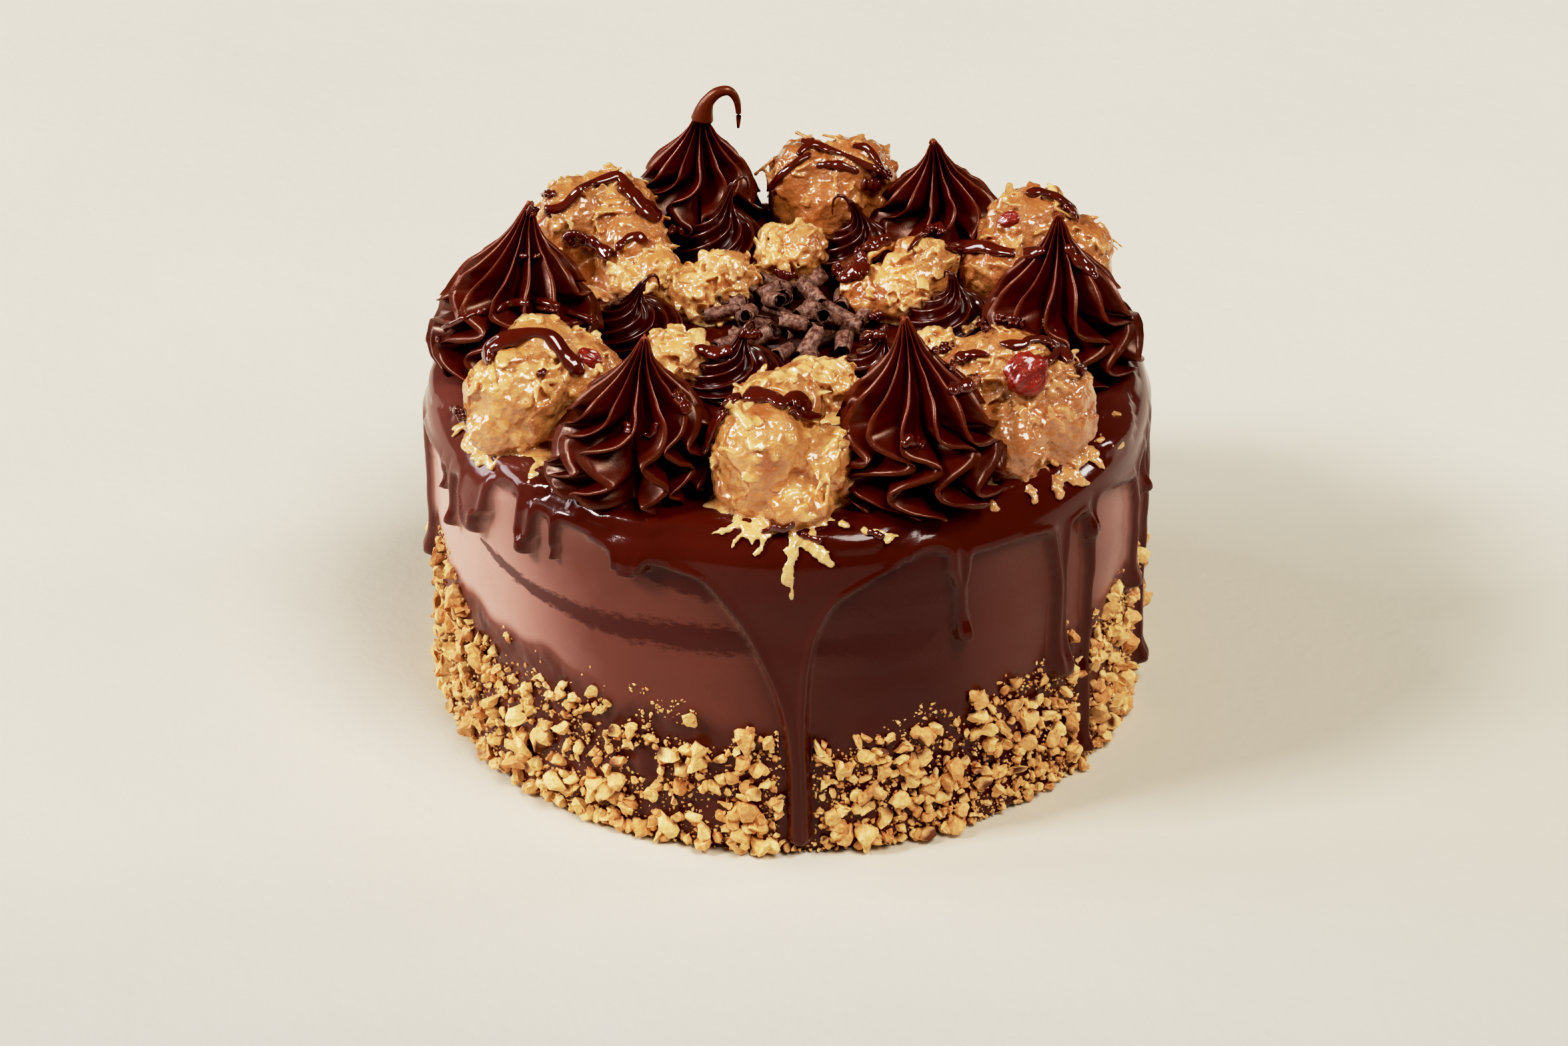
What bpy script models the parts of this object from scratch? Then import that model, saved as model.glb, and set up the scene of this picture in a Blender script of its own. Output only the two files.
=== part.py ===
"""German chocolate cake: a tall round layer cake in dark chocolate icing.

A glaze sheet covers the top and runs down the side in drips, and chopped nuts cover the foot.
On top stand star-piped rosettes and coconut-pecan balls in turn, then small swirls and coconut
clumps, and a heap of chocolate curls in the middle. Each of them is a piece of its own.

Metres, +Z up. The origin is the middle of the cake's underside, and the front is towards -Y.
"""
import math
import random

import bmesh
import bpy
from mathutils import Matrix, Vector, noise

# The cake itself: an 8 inch cake, four inches tall, with its icing.
CAKE_RADIUS = 0.102
CAKE_HEIGHT = 0.102
FOOT_ROUNDING = 0.002
GLAZE_THICKNESS = 0.0015
SHOULDER_RADIUS = 0.009
TURN_STEPS = 60
GAP = 0.0003
SLIVER = 0.00002
UNDERSIDE_FOLLOWS = 0.08

# The glaze sheet stops this far below the top, give or take its waves.
SHEET_DROP = 0.014
SHEET_WAVES = ((5, 0.0022, 0.6), (11, 0.0016, 2.1), (17, 0.0010, 4.4))

# Each drip: angle round the cake in degrees from +X, height of its end, and half its width.
SHOWN_DRIPS = (
    (185.5, 0.041, 0.0030),
    (204.0, 0.081, 0.0030),
    (209.5, 0.073, 0.0022),
    (214.5, 0.077, 0.0030),
    (225.5, 0.080, 0.0048),
    (232.5, 0.082, 0.0020),
    (245.5, 0.083, 0.0055),
    (297.5, 0.063, 0.0034),
    (316.0, 0.038, 0.0044),
    (324.0, 0.079, 0.0030),
    (341.0, 0.044, 0.0030),
    (352.0, 0.006, 0.0036),
)
BACK_DRIPS_FROM, BACK_DRIPS_TO, BACK_DRIP_COUNT = 3.0, 177.0, 7

# A drip starts this far below the top, and its rings take these shares of its half width.
DRIP_TOP_DROP = 0.006
DRIP_WIDTH_SHARES = (1.5, 0.9, 0.8, 1.1, 0.8)

# The wide run at the front narrows from the sheet to a drip that reaches the foot.
FRONT_RUN_ANGLE = 271.5
FRONT_RUN_END = 0.002
FRONT_RUN_HALF_WIDTHS = (0.0260, 0.0215, 0.0125, 0.0078, 0.0050, 0.0036, 0.0031, 0.0034, 0.0030)

# Chopped nuts round the foot.
NUT_COLUMNS, NUT_ROWS = 18, 4
NUT_RADIUS = (0.0034, 0.0050)
NUT_STANDS_OUT = 0.25
NUT_BAND_HEIGHT = 0.046
BODY_SEED = 14
COCONUT_SEED = 17

# Toppings: centre x and y, base radius and height above the cake's top. A rosette's last two
# values are how far its tip leans in x and y.
ROSETTES = (
    (-0.0420, -0.0692, 0.0245, 0.0440, 0.0040, -0.0020),
    (0.0355, -0.0718, 0.0250, 0.0480, -0.0040, 0.0030),
    (0.0765, -0.0040, 0.0248, 0.0460, -0.0005, 0.0020),
    (0.0455, 0.0640, 0.0222, 0.0420, -0.0025, -0.0020),
    (-0.0260, 0.0765, 0.0218, 0.0440, 0.0020, -0.0030),
    (-0.0785, 0.0005, 0.0258, 0.0465, 0.0055, 0.0040),
)
ROSETTE_RIDGES = 12
ROSETTE_GROOVE = 0.30
ROSETTE_SWAY = 0.07
HOOKED_ROSETTE = 5
COCONUT_BALLS = (
    (-0.0695, -0.0430, 0.0205, 0.0320),
    (-0.0030, -0.0790, 0.0195, 0.0350),
    (0.0640, -0.0490, 0.0210, 0.0315),
    (0.0750, 0.0420, 0.0205, 0.0330),
    (0.0125, 0.0770, 0.0198, 0.0345),
    (-0.0560, 0.0540, 0.0205, 0.0310),
)
SWIRLS = (
    (-0.0190, 0.0560, 0.0140, 0.0235),
    (0.0215, 0.0540, 0.0140, 0.0210),
    (0.0480, 0.0150, 0.0140, 0.0185),
    (0.0262, -0.0170, 0.0130, 0.0175),
    (-0.0140, -0.0180, 0.0140, 0.0185),
    (-0.0445, 0.0120, 0.0145, 0.0185),
)
SWIRL_RIDGES = 8
SWIRL_GROOVE = 0.22
SWIRL_TWIST = 2.4
COCONUT_CLUMPS = (
    (-0.0420, 0.0330, 0.0125, 0.0185),
    (-0.0240, 0.0315, 0.0130, 0.0170),
    (0.0005, 0.0490, 0.0110, 0.0200),
    (0.0335, 0.0325, 0.0160, 0.0225),
    (0.0420, -0.0080, 0.0095, 0.0140),
    (0.0085, -0.0300, 0.0125, 0.0180),
    (-0.0315, -0.0110, 0.0115, 0.0170),
)
CURL_HEAP = (0.0010, 0.0130, 0.0240, 0.0130)
CURL_HEAP_DEPTH_SHARE = 0.76
CURL_RINGS = ((0.0, 1), (0.0085, 6), (0.0180, 12))
CURL_RADIUS = 0.0024
CURL_SEED = 3
PECAN_SPOT = (0.0665, -0.0555, 0.0215)
PECAN_SIZE = (0.0060, 0.0035, 0.0042)
PECAN_BALL = 3

# A star-piped rosette from its underside to its tip: shares of its base radius and its height.
ROSETTE_PROFILE = (
    (0.00, 0.00), (0.82, 0.00), (0.99, 0.07), (1.00, 0.17), (0.94, 0.29), (0.81, 0.41),
    (0.60, 0.54), (0.38, 0.67), (0.20, 0.81), (0.09, 0.93), (0.00, 1.00),
)
SWIRL_PROFILE = (
    (0.00, 0.00), (0.84, 0.00), (1.00, 0.18), (0.92, 0.42), (0.62, 0.58), (0.28, 0.70),
    (0.12, 0.88), (0.00, 1.00),
)


def material(name, colour, roughness):
    """A plain finish with one colour."""
    finish = bpy.data.materials.new(name)
    finish.use_nodes = True
    shader = finish.node_tree.nodes["Principled BSDF"]
    shader.inputs["Base Color"].default_value = (*colour, 1.0)
    shader.inputs["Roughness"].default_value = roughness
    shader.inputs["Metallic"].default_value = 0.0
    return finish


def new_object(name, shape, finish, collection):
    """Put a finished bmesh into a new object of its own."""
    mesh = bpy.data.meshes.new(name)
    bmesh.ops.recalc_face_normals(shape, faces=shape.faces)
    shape.to_mesh(mesh)
    shape.free()
    mesh.materials.append(finish)
    piece = bpy.data.objects.new(name, mesh)
    collection.objects.link(piece)
    return piece


def apply_modifiers(piece):
    """Turn a piece's mesh into the one that its modifiers give."""
    graph = bpy.context.evaluated_depsgraph_get()
    mesh = bpy.data.meshes.new_from_object(piece.evaluated_get(graph))
    piece.modifiers.clear()
    piece.data = mesh


def fuse(piece, extras):
    """Join every object of a collection to a piece, and remove the collection's objects."""
    union = piece.modifiers.new("fuse", "BOOLEAN")
    union.operation = "UNION"
    union.operand_type = "COLLECTION"
    union.collection = extras
    apply_modifiers(piece)
    for extra in list(extras.objects):
        bpy.data.objects.remove(extra)
    bpy.data.collections.remove(extras)
    shape = bmesh.new()
    shape.from_mesh(piece.data)
    bmesh.ops.triangulate(shape, faces=shape.faces)
    bmesh.ops.remove_doubles(shape, verts=shape.verts, dist=SLIVER)
    bmesh.ops.dissolve_degenerate(shape, edges=shape.edges, dist=SLIVER / 2)
    bmesh.ops.triangulate(shape, faces=shape.faces)
    keep_largest_body(shape)
    shape.to_mesh(piece.data)
    shape.free()


def keep_largest_body(shape):
    """Drop loose scraps and sealed hollows: all but the body with the most faces."""
    waiting = set(shape.faces)
    bodies = []
    while waiting:
        edge_of_search = [waiting.pop()]
        body = set(edge_of_search)
        while edge_of_search:
            face = edge_of_search.pop()
            for edge in face.edges:
                for other in edge.link_faces:
                    if other in waiting:
                        waiting.remove(other)
                        body.add(other)
                        edge_of_search.append(other)
        bodies.append(body)
    bodies.sort(key=len)
    for body in bodies[:-1]:
        bmesh.ops.delete(shape, geom=list(body), context="FACES")


def extras_collection(name):
    """A collection for small pieces that are about to be fused."""
    extras = bpy.data.collections.new(name)
    bpy.context.scene.collection.children.link(extras)
    return extras


def turned(name, profile, finish, collection):
    """A turned shape: a profile, listed from top to bottom down its outer side, screwed round."""
    shape = bmesh.new()
    corners = [shape.verts.new((radius, 0.0, height)) for radius, height in profile]
    for upper, lower in zip(corners, corners[1:]):
        shape.edges.new((upper, lower))
    mesh = bpy.data.meshes.new(name)
    shape.to_mesh(mesh)
    shape.free()
    mesh.materials.append(finish)
    piece = bpy.data.objects.new(name, mesh)
    collection.objects.link(piece)
    screw = piece.modifiers.new("turn", "SCREW")
    screw.steps = TURN_STEPS
    screw.render_steps = TURN_STEPS
    screw.use_merge_vertices = True
    screw.merge_threshold = 0.00001
    apply_modifiers(piece)
    return piece


def sheet_edge(angle):
    """Height of the glaze sheet's lower edge at an angle round the cake, in radians."""
    waves = sum(depth * math.sin(count * angle + phase) for count, depth, phase in SHEET_WAVES)
    return CAKE_HEIGHT - SHEET_DROP + waves


def glaze_sheet(finish, collection):
    """The glaze over the top: a cap with a rounded shoulder, whose rim is then let down in waves."""
    outside = CAKE_RADIUS + GLAZE_THICKNESS
    inside = CAKE_RADIUS - GLAZE_THICKNESS
    shoulder = CAKE_HEIGHT - SHOULDER_RADIUS
    middle = outside - SHOULDER_RADIUS
    rim = CAKE_HEIGHT - SHEET_DROP
    profile = [(0.0, CAKE_HEIGHT)]
    for step in range(5):
        turn = math.radians(90 - 22.5 * step)
        profile.append((middle + SHOULDER_RADIUS * math.cos(turn),
                        shoulder + SHOULDER_RADIUS * math.sin(turn)))
    profile += [(outside, rim), (inside, rim), (inside, shoulder), (0.0, shoulder)]
    cap = turned("glaze_sheet", profile, finish, collection)
    for vertex in cap.data.vertices:
        if vertex.co.z < rim + 0.0005:
            vertex.co.z = sheet_edge(math.atan2(vertex.co.y, vertex.co.x))
    return cap


def run_of_glaze(name, angle, top, end, half_widths, sides, finish, collection):
    """A run of glaze down the wall: a ball drawn out into a flat strand and laid on the wall.

    Each ring of the ball takes the half width of its level, from the top to the round end.
    """
    rings = len(half_widths)
    shape = bmesh.new()
    bmesh.ops.create_uvsphere(shape, u_segments=sides, v_segments=rings + 1, radius=1.0)
    for vertex in shape.verts:
        level = math.acos(max(-1.0, min(1.0, vertex.co.z))) / math.pi
        ring = round(level * (rings + 1)) - 1
        around = math.atan2(vertex.co.y, vertex.co.x)
        is_pole = ring < 0 or ring >= rings
        half_width = 0.0 if is_pole else half_widths[ring]
        half_depth = min(half_width, 0.0030)
        across = half_width * math.cos(around)
        out = CAKE_RADIUS + half_depth * math.sin(around)
        turn = angle + across / CAKE_RADIUS
        share = (ring + 1) / (rings + 1)
        height = top + (end - top) * share
        vertex.co = Vector((out * math.cos(turn), out * math.sin(turn), height))
    return new_object(name, shape, finish, collection)


def drips(rng, finish, collection):
    """All the drips: those the front shows, and like ones spread round the back."""
    runs = list(SHOWN_DRIPS)
    step = (BACK_DRIPS_TO - BACK_DRIPS_FROM) / BACK_DRIP_COUNT
    top = CAKE_HEIGHT - DRIP_TOP_DROP
    for count in range(BACK_DRIP_COUNT):
        angle = BACK_DRIPS_FROM + step * (count + 0.5 + rng.uniform(-0.3, 0.3))
        runs.append((angle, rng.uniform(0.035, 0.082), rng.uniform(0.0024, 0.0042)))
    for number, (angle, end, half_width) in enumerate(runs):
        widths = [half_width * share for share in DRIP_WIDTH_SHARES]
        run_of_glaze(f"drip_{number}", math.radians(angle), top, end, widths, 6, finish, collection)
    run_of_glaze("front_run", math.radians(FRONT_RUN_ANGLE), top, FRONT_RUN_END,
                 FRONT_RUN_HALF_WIDTHS, 8, finish, collection)


def nuts(rng, finish, collection):
    """Chopped nuts pressed into the foot: broken lumps in loose staggered rows."""
    for row in range(NUT_ROWS):
        for column in range(NUT_COLUMNS):
            radius = rng.uniform(*NUT_RADIUS) * (1.0 - 0.12 * row)
            angle = math.tau * (column + 0.5 * (row % 2) + rng.uniform(-0.25, 0.25)) / NUT_COLUMNS
            height = NUT_BAND_HEIGHT * (row + 0.45 + rng.uniform(-0.25, 0.25)) / NUT_ROWS
            shape = bmesh.new()
            bmesh.ops.create_icosphere(shape, subdivisions=1, radius=radius)
            turn = Matrix.Rotation(rng.uniform(0, math.tau), 4, "Z")
            tilt = Matrix.Rotation(rng.uniform(0, math.pi), 4, "X")
            stretch = Matrix.Diagonal((rng.uniform(0.9, 1.2), rng.uniform(0.8, 1.1), 0.8, 1.0))
            out = CAKE_RADIUS + radius * NUT_STANDS_OUT
            place = Matrix.Translation((out * math.cos(angle), out * math.sin(angle), height))
            bmesh.ops.transform(shape, matrix=place @ turn @ tilt @ stretch, verts=shape.verts)
            for vertex in shape.verts:
                vertex.co += Vector([rng.uniform(-0.12, 0.12) * radius for _ in range(3)])
                vertex.co.z = max(vertex.co.z, 0.0006 + 0.0002 * rng.random())
            new_object(f"nut_{row}_{column}", shape, finish, collection)


def cake_body(collection):
    """The iced cake with its glaze, drips and nuts, all one solid."""
    rng = random.Random(BODY_SEED)
    icing = material("dark_icing", (0.055, 0.016, 0.009), 0.35)
    nut = material("chopped_nut", (0.55, 0.33, 0.13), 0.6)
    profile = (
        (0.0, CAKE_HEIGHT - GLAZE_THICKNESS),
        (CAKE_RADIUS - SHOULDER_RADIUS, CAKE_HEIGHT - GLAZE_THICKNESS),
        (CAKE_RADIUS, CAKE_HEIGHT - SHOULDER_RADIUS),
        (CAKE_RADIUS, FOOT_ROUNDING),
        (CAKE_RADIUS - FOOT_ROUNDING, 0.0),
        (0.0, 0.0),
    )
    body = turned("cake_body", profile, icing, collection)
    extras = extras_collection("glaze_and_nuts")
    glaze_sheet(icing, extras)
    drips(rng, icing, extras)
    nuts(rng, nut, extras)
    fuse(body, extras)


def shoulder_drop(reach):
    """How far the cake's top has fallen, at a distance from the middle, over its round shoulder."""
    start = CAKE_RADIUS + GLAZE_THICKNESS - SHOULDER_RADIUS
    past = min(max(reach - start, 0.0), SHOULDER_RADIUS)
    return SHOULDER_RADIUS - math.sqrt(SHOULDER_RADIUS ** 2 - past ** 2)


def neighbours():
    """Every topping's circle on the cake's top: x, y and radius."""
    circles = [item[:3] for group in (ROSETTES, COCONUT_BALLS, SWIRLS, COCONUT_CLUMPS) for item in group]
    return circles + [CURL_HEAP[:3]]


def settle(piece, circle):
    """Keep a topping on the cake and off its neighbours.

    Where two toppings' circles would cross, both stop at the upright plane through the crossing,
    so they are pressed flat against each other. Undersides follow the cake's round shoulder.
    """
    x, y, radius = circle
    own = Vector((x, y))
    planes = []
    for other_x, other_y, other_radius in neighbours():
        apart = Vector((other_x, other_y)) - own
        distance = apart.length
        if distance < 1e-6 or distance > radius + other_radius + 0.008:
            continue
        reach = (distance ** 2 + radius ** 2 - other_radius ** 2) / (2 * distance)
        planes.append((apart.normalized(), reach - GAP / 2))
    floor = CAKE_HEIGHT + GAP
    for vertex in piece.data.vertices:
        spot = Vector((vertex.co.x, vertex.co.y)) - own
        for _ in range(6):
            for direction, reach in planes:
                past = spot.dot(direction) - reach
                if past > 0:
                    spot -= direction * past
        vertex.co.x, vertex.co.y = own + spot
        distance = math.hypot(vertex.co.x, vertex.co.y)
        if vertex.co.z < floor + 0.0001:
            vertex.co.z = floor - UNDERSIDE_FOLLOWS * shoulder_drop(distance)


def piped(name, item, profile, ridges, depth, twist, sway, finish, collection):
    """A star-piped shape: a ball whose rings take the profile's radius and height.

    Each ridge is a column of corners further out than the columns beside it. The twist turns the
    ridges as they rise, and the sway bends them to and fro.
    """
    x, y, radius, height, lean_x, lean_y = item
    rings = len(profile) - 1
    shape = bmesh.new()
    bmesh.ops.create_uvsphere(shape, u_segments=2 * ridges, v_segments=rings, radius=1.0)
    for vertex in shape.verts:
        level = math.acos(max(-1.0, min(1.0, -vertex.co.z))) / math.pi
        ring = round(level * rings)
        share, rise = profile[ring]
        around = math.atan2(vertex.co.y, vertex.co.x)
        groove = 0.5 - 0.5 * math.cos(ridges * around)
        reach = radius * share * (1.0 - depth * groove * min(1.0, 4 * rise))
        turn = around + twist * rise + sway * math.sin(7.0 * rise)
        vertex.co = Vector((
            x + reach * math.cos(turn) + lean_x * rise ** 2,
            y + reach * math.sin(turn) + lean_y * rise ** 2,
            CAKE_HEIGHT + GAP + height * rise,
        ))
    return new_object(name, shape, finish, collection)


def strand(name, points, radii, sides, finish, collection):
    """A round strand through points: a curve with a bevel, made a mesh with its caps welded."""
    curve = bpy.data.curves.new(name, "CURVE")
    curve.dimensions = "3D"
    curve.bevel_depth = 1.0
    curve.bevel_resolution = sides
    curve.use_fill_caps = True
    path = curve.splines.new("POLY")
    path.points.add(len(points) - 1)
    for control, point, radius in zip(path.points, points, radii):
        control.co = (*point, 1.0)
        control.radius = radius
    guide = bpy.data.objects.new(name + "_curve", curve)
    collection.objects.link(guide)
    graph = bpy.context.evaluated_depsgraph_get()
    mesh = bpy.data.meshes.new_from_object(guide.evaluated_get(graph))
    shape = bmesh.new()
    shape.from_mesh(mesh)
    bmesh.ops.remove_doubles(shape, verts=shape.verts, dist=0.00001)
    bpy.data.objects.remove(guide)
    return new_object(name, shape, finish, collection)


def hook_points(item):
    """The drawn-out tip of the tall rosette: over to the right and down again."""
    x, y, _, height, lean_x, lean_y = item
    start = Vector((x + lean_x, y + lean_y, CAKE_HEIGHT + height * 0.93))
    offsets = ((0.0, 0.0, 0.0), (0.0015, 0.0, 0.0045), (0.0045, 0.0, 0.0078), (0.0080, 0.0, 0.0082),
               (0.0102, 0.0, 0.0052), (0.0107, 0.0, 0.0005), (0.0106, 0.0, -0.0040))
    return [start + Vector(offset) for offset in offsets]


def rosettes(collection):
    """Six tall star-piped rosettes of dark chocolate icing."""
    icing = material("piped_icing", (0.060, 0.018, 0.010), 0.4)
    for number, item in enumerate(ROSETTES, start=1):
        twist = 0.35 + 0.12 * math.sin(2.3 * number)
        piece = piped(f"rosette_{number}", item, ROSETTE_PROFILE, ROSETTE_RIDGES, ROSETTE_GROOVE,
                      twist, ROSETTE_SWAY, icing, collection)
        if number == HOOKED_ROSETTE:
            extras = extras_collection("hook")
            radii = (0.0024, 0.0019, 0.0015, 0.0012, 0.0009, 0.0007, 0.0005)
            strand("hook", hook_points(item), radii, 1, icing, extras)
            fuse(piece, extras)
        settle(piece, item[:3])


def swirls(collection):
    """Six small swirls with fine ridges that wind right round them."""
    icing = material("swirl_icing", (0.065, 0.018, 0.010), 0.25)
    for number, item in enumerate(SWIRLS, start=1):
        tilt = 0.003 * math.cos(1.7 * number)
        piece = piped(f"swirl_{number}", (*item, tilt, 0.002), SWIRL_PROFILE, SWIRL_RIDGES,
                      SWIRL_GROOVE, SWIRL_TWIST, 0.0, icing, collection)
        settle(piece, item[:3])


def dome_height(item, x, y):
    """Height of a lump's round top over a point, before it is roughened."""
    centre_x, centre_y, radius, height = item
    away = min(1.0, math.hypot(x - centre_x, y - centre_y) / radius)
    return CAKE_HEIGHT + height * (0.42 + 0.58 * math.sqrt(1.0 - away ** 2))


def lump(name, item, detail, roughness, finish, collection):
    """A lump of coconut icing: a ball with a spread foot, roughened by smooth noise."""
    x, y, radius, height = item
    shape = bmesh.new()
    bmesh.ops.create_uvsphere(shape, u_segments=2 * detail, v_segments=detail, radius=1.0)
    for vertex in shape.verts:
        way = vertex.co.copy()
        swell = 1.0 + roughness * noise.noise(way * 2.6 + Vector((x, y, 0.0)) * 900)
        rise = 0.42 + 0.58 * way.z if way.z > 0 else 0.42 + 0.9 * way.z
        spread = 1.0 + 0.10 * max(0.0, 1.0 - 2.2 * max(rise, 0.0))
        vertex.co = Vector((
            x + radius * way.x * swell * spread,
            y + radius * way.y * swell * spread,
            CAKE_HEIGHT + GAP + max(0.0, height * rise * (1.0 + 0.6 * (swell - 1.0))),
        ))
    return new_object(name, shape, finish, collection)


def shreds(item, count, rng, finish, collection):
    """Coconut shreds that stick out of a lump, low round its foot and here and there above."""
    x, y, radius, height = item
    for number in range(count):
        angle = math.tau * (number + rng.uniform(0.1, 0.9)) / count
        rise = rng.uniform(0.10, 0.75)
        reach = radius * math.sqrt(max(0.1, 1.0 - rise ** 2))
        shape = bmesh.new()
        bmesh.ops.create_cube(shape, size=1.0)
        size = Matrix.Diagonal((rng.uniform(0.008, 0.011), 0.0024, 0.0016, 1.0))
        lift = Matrix.Rotation(-rng.uniform(0.0, 0.5), 4, "Y")
        turn = Matrix.Rotation(angle + rng.uniform(-0.6, 0.6), 4, "Z")
        place = Matrix.Translation((
            x + reach * math.cos(angle),
            y + reach * math.sin(angle),
            CAKE_HEIGHT + 0.003 + height * rise * 0.9,
        ))
        bmesh.ops.transform(shape, matrix=place @ turn @ lift @ size, verts=shape.verts)
        new_object(f"shred_{number}", shape, finish, collection)


def drizzle(item, rng, finish, collection):
    """A thick thread of syrup that lies across a lump."""
    x, y, radius, _ = item
    heading = rng.uniform(-0.4, 0.4)
    aside = rng.uniform(-0.25, 0.25) * radius
    points = []
    for step in range(7):
        along = (step / 3 - 1.0) * 0.86 * radius
        bend = aside + 0.12 * radius * math.sin(1.3 * step)
        spot_x = x + along * math.cos(heading) - bend * math.sin(heading)
        spot_y = y + along * math.sin(heading) + bend * math.cos(heading)
        points.append((spot_x, spot_y, dome_height(item, spot_x, spot_y) + 0.0006))
    strand("drizzle", points, [0.0017] * len(points), 1, finish, collection)


def pecan(finish, collection):
    """The piece of glazed pecan that shows on one ball."""
    shape = bmesh.new()
    bmesh.ops.create_icosphere(shape, subdivisions=1, radius=1.0)
    x, y, height = PECAN_SPOT
    place = Matrix.Translation((x, y, CAKE_HEIGHT + height)) @ Matrix.Rotation(0.4, 4, "X")
    bmesh.ops.transform(shape, matrix=place @ Matrix.Diagonal((*PECAN_SIZE, 1.0)), verts=shape.verts)
    new_object("pecan", shape, finish, collection)


def coconut(collection):
    """Six balls and seven smaller clumps of coconut and pecan icing."""
    rng = random.Random(COCONUT_SEED)
    caramel = material("coconut_icing", (0.48, 0.27, 0.11), 0.3)
    syrup = material("syrup", (0.035, 0.010, 0.006), 0.1)
    nut = material("pecan", (0.22, 0.05, 0.02), 0.25)
    for number, item in enumerate(COCONUT_BALLS, start=1):
        piece = lump(f"coconut_ball_{number}", item, 8, 0.25, caramel, collection)
        extras = extras_collection("on_ball")
        shreds(item, 4, rng, caramel, extras)
        drizzle(item, rng, syrup, extras)
        if number == PECAN_BALL:
            pecan(nut, extras)
        fuse(piece, extras)
        settle(piece, item[:3])
    for number, item in enumerate(COCONUT_CLUMPS, start=1):
        piece = lump(f"coconut_clump_{number}", item, 5, 0.45, caramel, collection)
        settle(piece, item[:3])


def chocolate_curls(collection):
    """The heap in the middle: a low oval core, with rolled curls lying and standing on it."""
    rng = random.Random(CURL_SEED)
    chocolate = material("shaved_chocolate", (0.060, 0.028, 0.020), 0.7)
    x, y, radius, heap_height = CURL_HEAP
    core = (x, y, radius * 0.86, heap_height * 0.62)
    heap = lump("chocolate_curls", core, 5, 0.10, chocolate, collection)
    for vertex in heap.data.vertices:
        vertex.co.y = y + (vertex.co.y - y) * CURL_HEAP_DEPTH_SHARE
    extras = extras_collection("curls")
    for ring_reach, count in CURL_RINGS:
        for number in range(count):
            angle = math.tau * (number + rng.uniform(-0.2, 0.2)) / count
            spot_x = x + ring_reach * math.cos(angle)
            spot_y = y + ring_reach * math.sin(angle)
            height = dome_height(core, spot_x, spot_y) + CURL_RADIUS / 2
            spot_y = y + (spot_y - y) * CURL_HEAP_DEPTH_SHARE
            length = rng.uniform(0.0085, 0.0105)
            shape = bmesh.new()
            bmesh.ops.create_cone(shape, cap_ends=True, segments=6, radius1=CURL_RADIUS,
                                  radius2=CURL_RADIUS, depth=length)
            tilt = Matrix.Rotation(rng.uniform(0.9, 1.5), 4, "Y")
            along_ring = angle + math.pi / 2 + rng.uniform(-0.5, 0.5)
            turn = Matrix.Rotation(along_ring, 4, "Z")
            place = Matrix.Translation((spot_x, spot_y, height))
            bmesh.ops.transform(shape, matrix=place @ turn @ tilt, verts=shape.verts)
            new_object(f"curl_{number}", shape, chocolate, extras)
    fuse(heap, extras)
    settle(heap, CURL_HEAP[:3])


def main():
    """Clear the scene and model the whole cake in one collection."""
    for old in list(bpy.data.objects):
        bpy.data.objects.remove(old)
    cake = bpy.data.collections.new("german_chocolate_cake")
    bpy.context.scene.collection.children.link(cake)
    cake_body(cake)
    rosettes(cake)
    coconut(cake)
    swirls(cake)
    chocolate_curls(cake)


main()
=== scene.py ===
"""Looks of a German chocolate cake: satin ganache, glaze drips, chopped nuts and the toppings.

Every new piece is a surface worked out with numpy. Lengths are metres, +Z up, and the front is
towards -Y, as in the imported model. Each topping stands where its solid does.
"""
import itertools
import math

import bmesh
import bpy
import numpy as np
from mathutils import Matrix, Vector


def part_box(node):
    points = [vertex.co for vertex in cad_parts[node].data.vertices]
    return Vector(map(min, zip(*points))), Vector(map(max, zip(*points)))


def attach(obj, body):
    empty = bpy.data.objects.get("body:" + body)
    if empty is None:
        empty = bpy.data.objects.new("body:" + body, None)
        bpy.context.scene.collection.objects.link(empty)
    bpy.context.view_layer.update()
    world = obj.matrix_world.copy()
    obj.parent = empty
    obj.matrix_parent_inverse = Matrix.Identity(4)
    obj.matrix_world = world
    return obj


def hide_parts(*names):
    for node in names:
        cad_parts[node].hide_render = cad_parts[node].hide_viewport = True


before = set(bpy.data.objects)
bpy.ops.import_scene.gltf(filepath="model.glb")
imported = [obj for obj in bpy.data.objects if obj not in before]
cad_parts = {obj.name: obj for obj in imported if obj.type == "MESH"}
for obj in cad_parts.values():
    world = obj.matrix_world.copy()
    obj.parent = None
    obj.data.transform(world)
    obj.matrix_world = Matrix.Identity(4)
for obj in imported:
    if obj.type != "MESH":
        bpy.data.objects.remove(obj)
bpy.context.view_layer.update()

# The iced cake.
CAKE_RADIUS = 0.102
CAKE_HEIGHT = 0.102
SHOULDER_RADIUS = 0.009
GLAZE = 0.0015
FOOT_ROUNDING = 0.002
# The icing under the glaze: its top, and the height where the wall turns into the shoulder.
ICING_TOP = CAKE_HEIGHT - GLAZE
WALL_TOP = ICING_TOP - SHOULDER_RADIUS

# The glaze sheet stops this far below the top. By angle in degrees, its edge is raised this far and
# keeps this share of the waves, each of them a count, a depth and a phase.
SHEET_DROP = 0.014
SHEET_RISES = (
    (0, 0.0, 1.0), (186, 0.0, 1.0), (201, 0.0010, 0.5), (210, 0.0030, 0.1), (221.5, 0.0076, 0.0),
    (229, 0.0058, 0.0), (236, 0.0056, 0.0), (241, 0.0032, 0.0), (249, 0.0022, 0.1), (257, 0.0004, 0.5),
    (266, 0.0, 1.0), (360, 0.0, 1.0),
)
SHEET_WAVES = ((5, 0.0022, 0.6), (11, 0.0016, 2.1), (17, 0.0010, 4.4))

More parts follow.
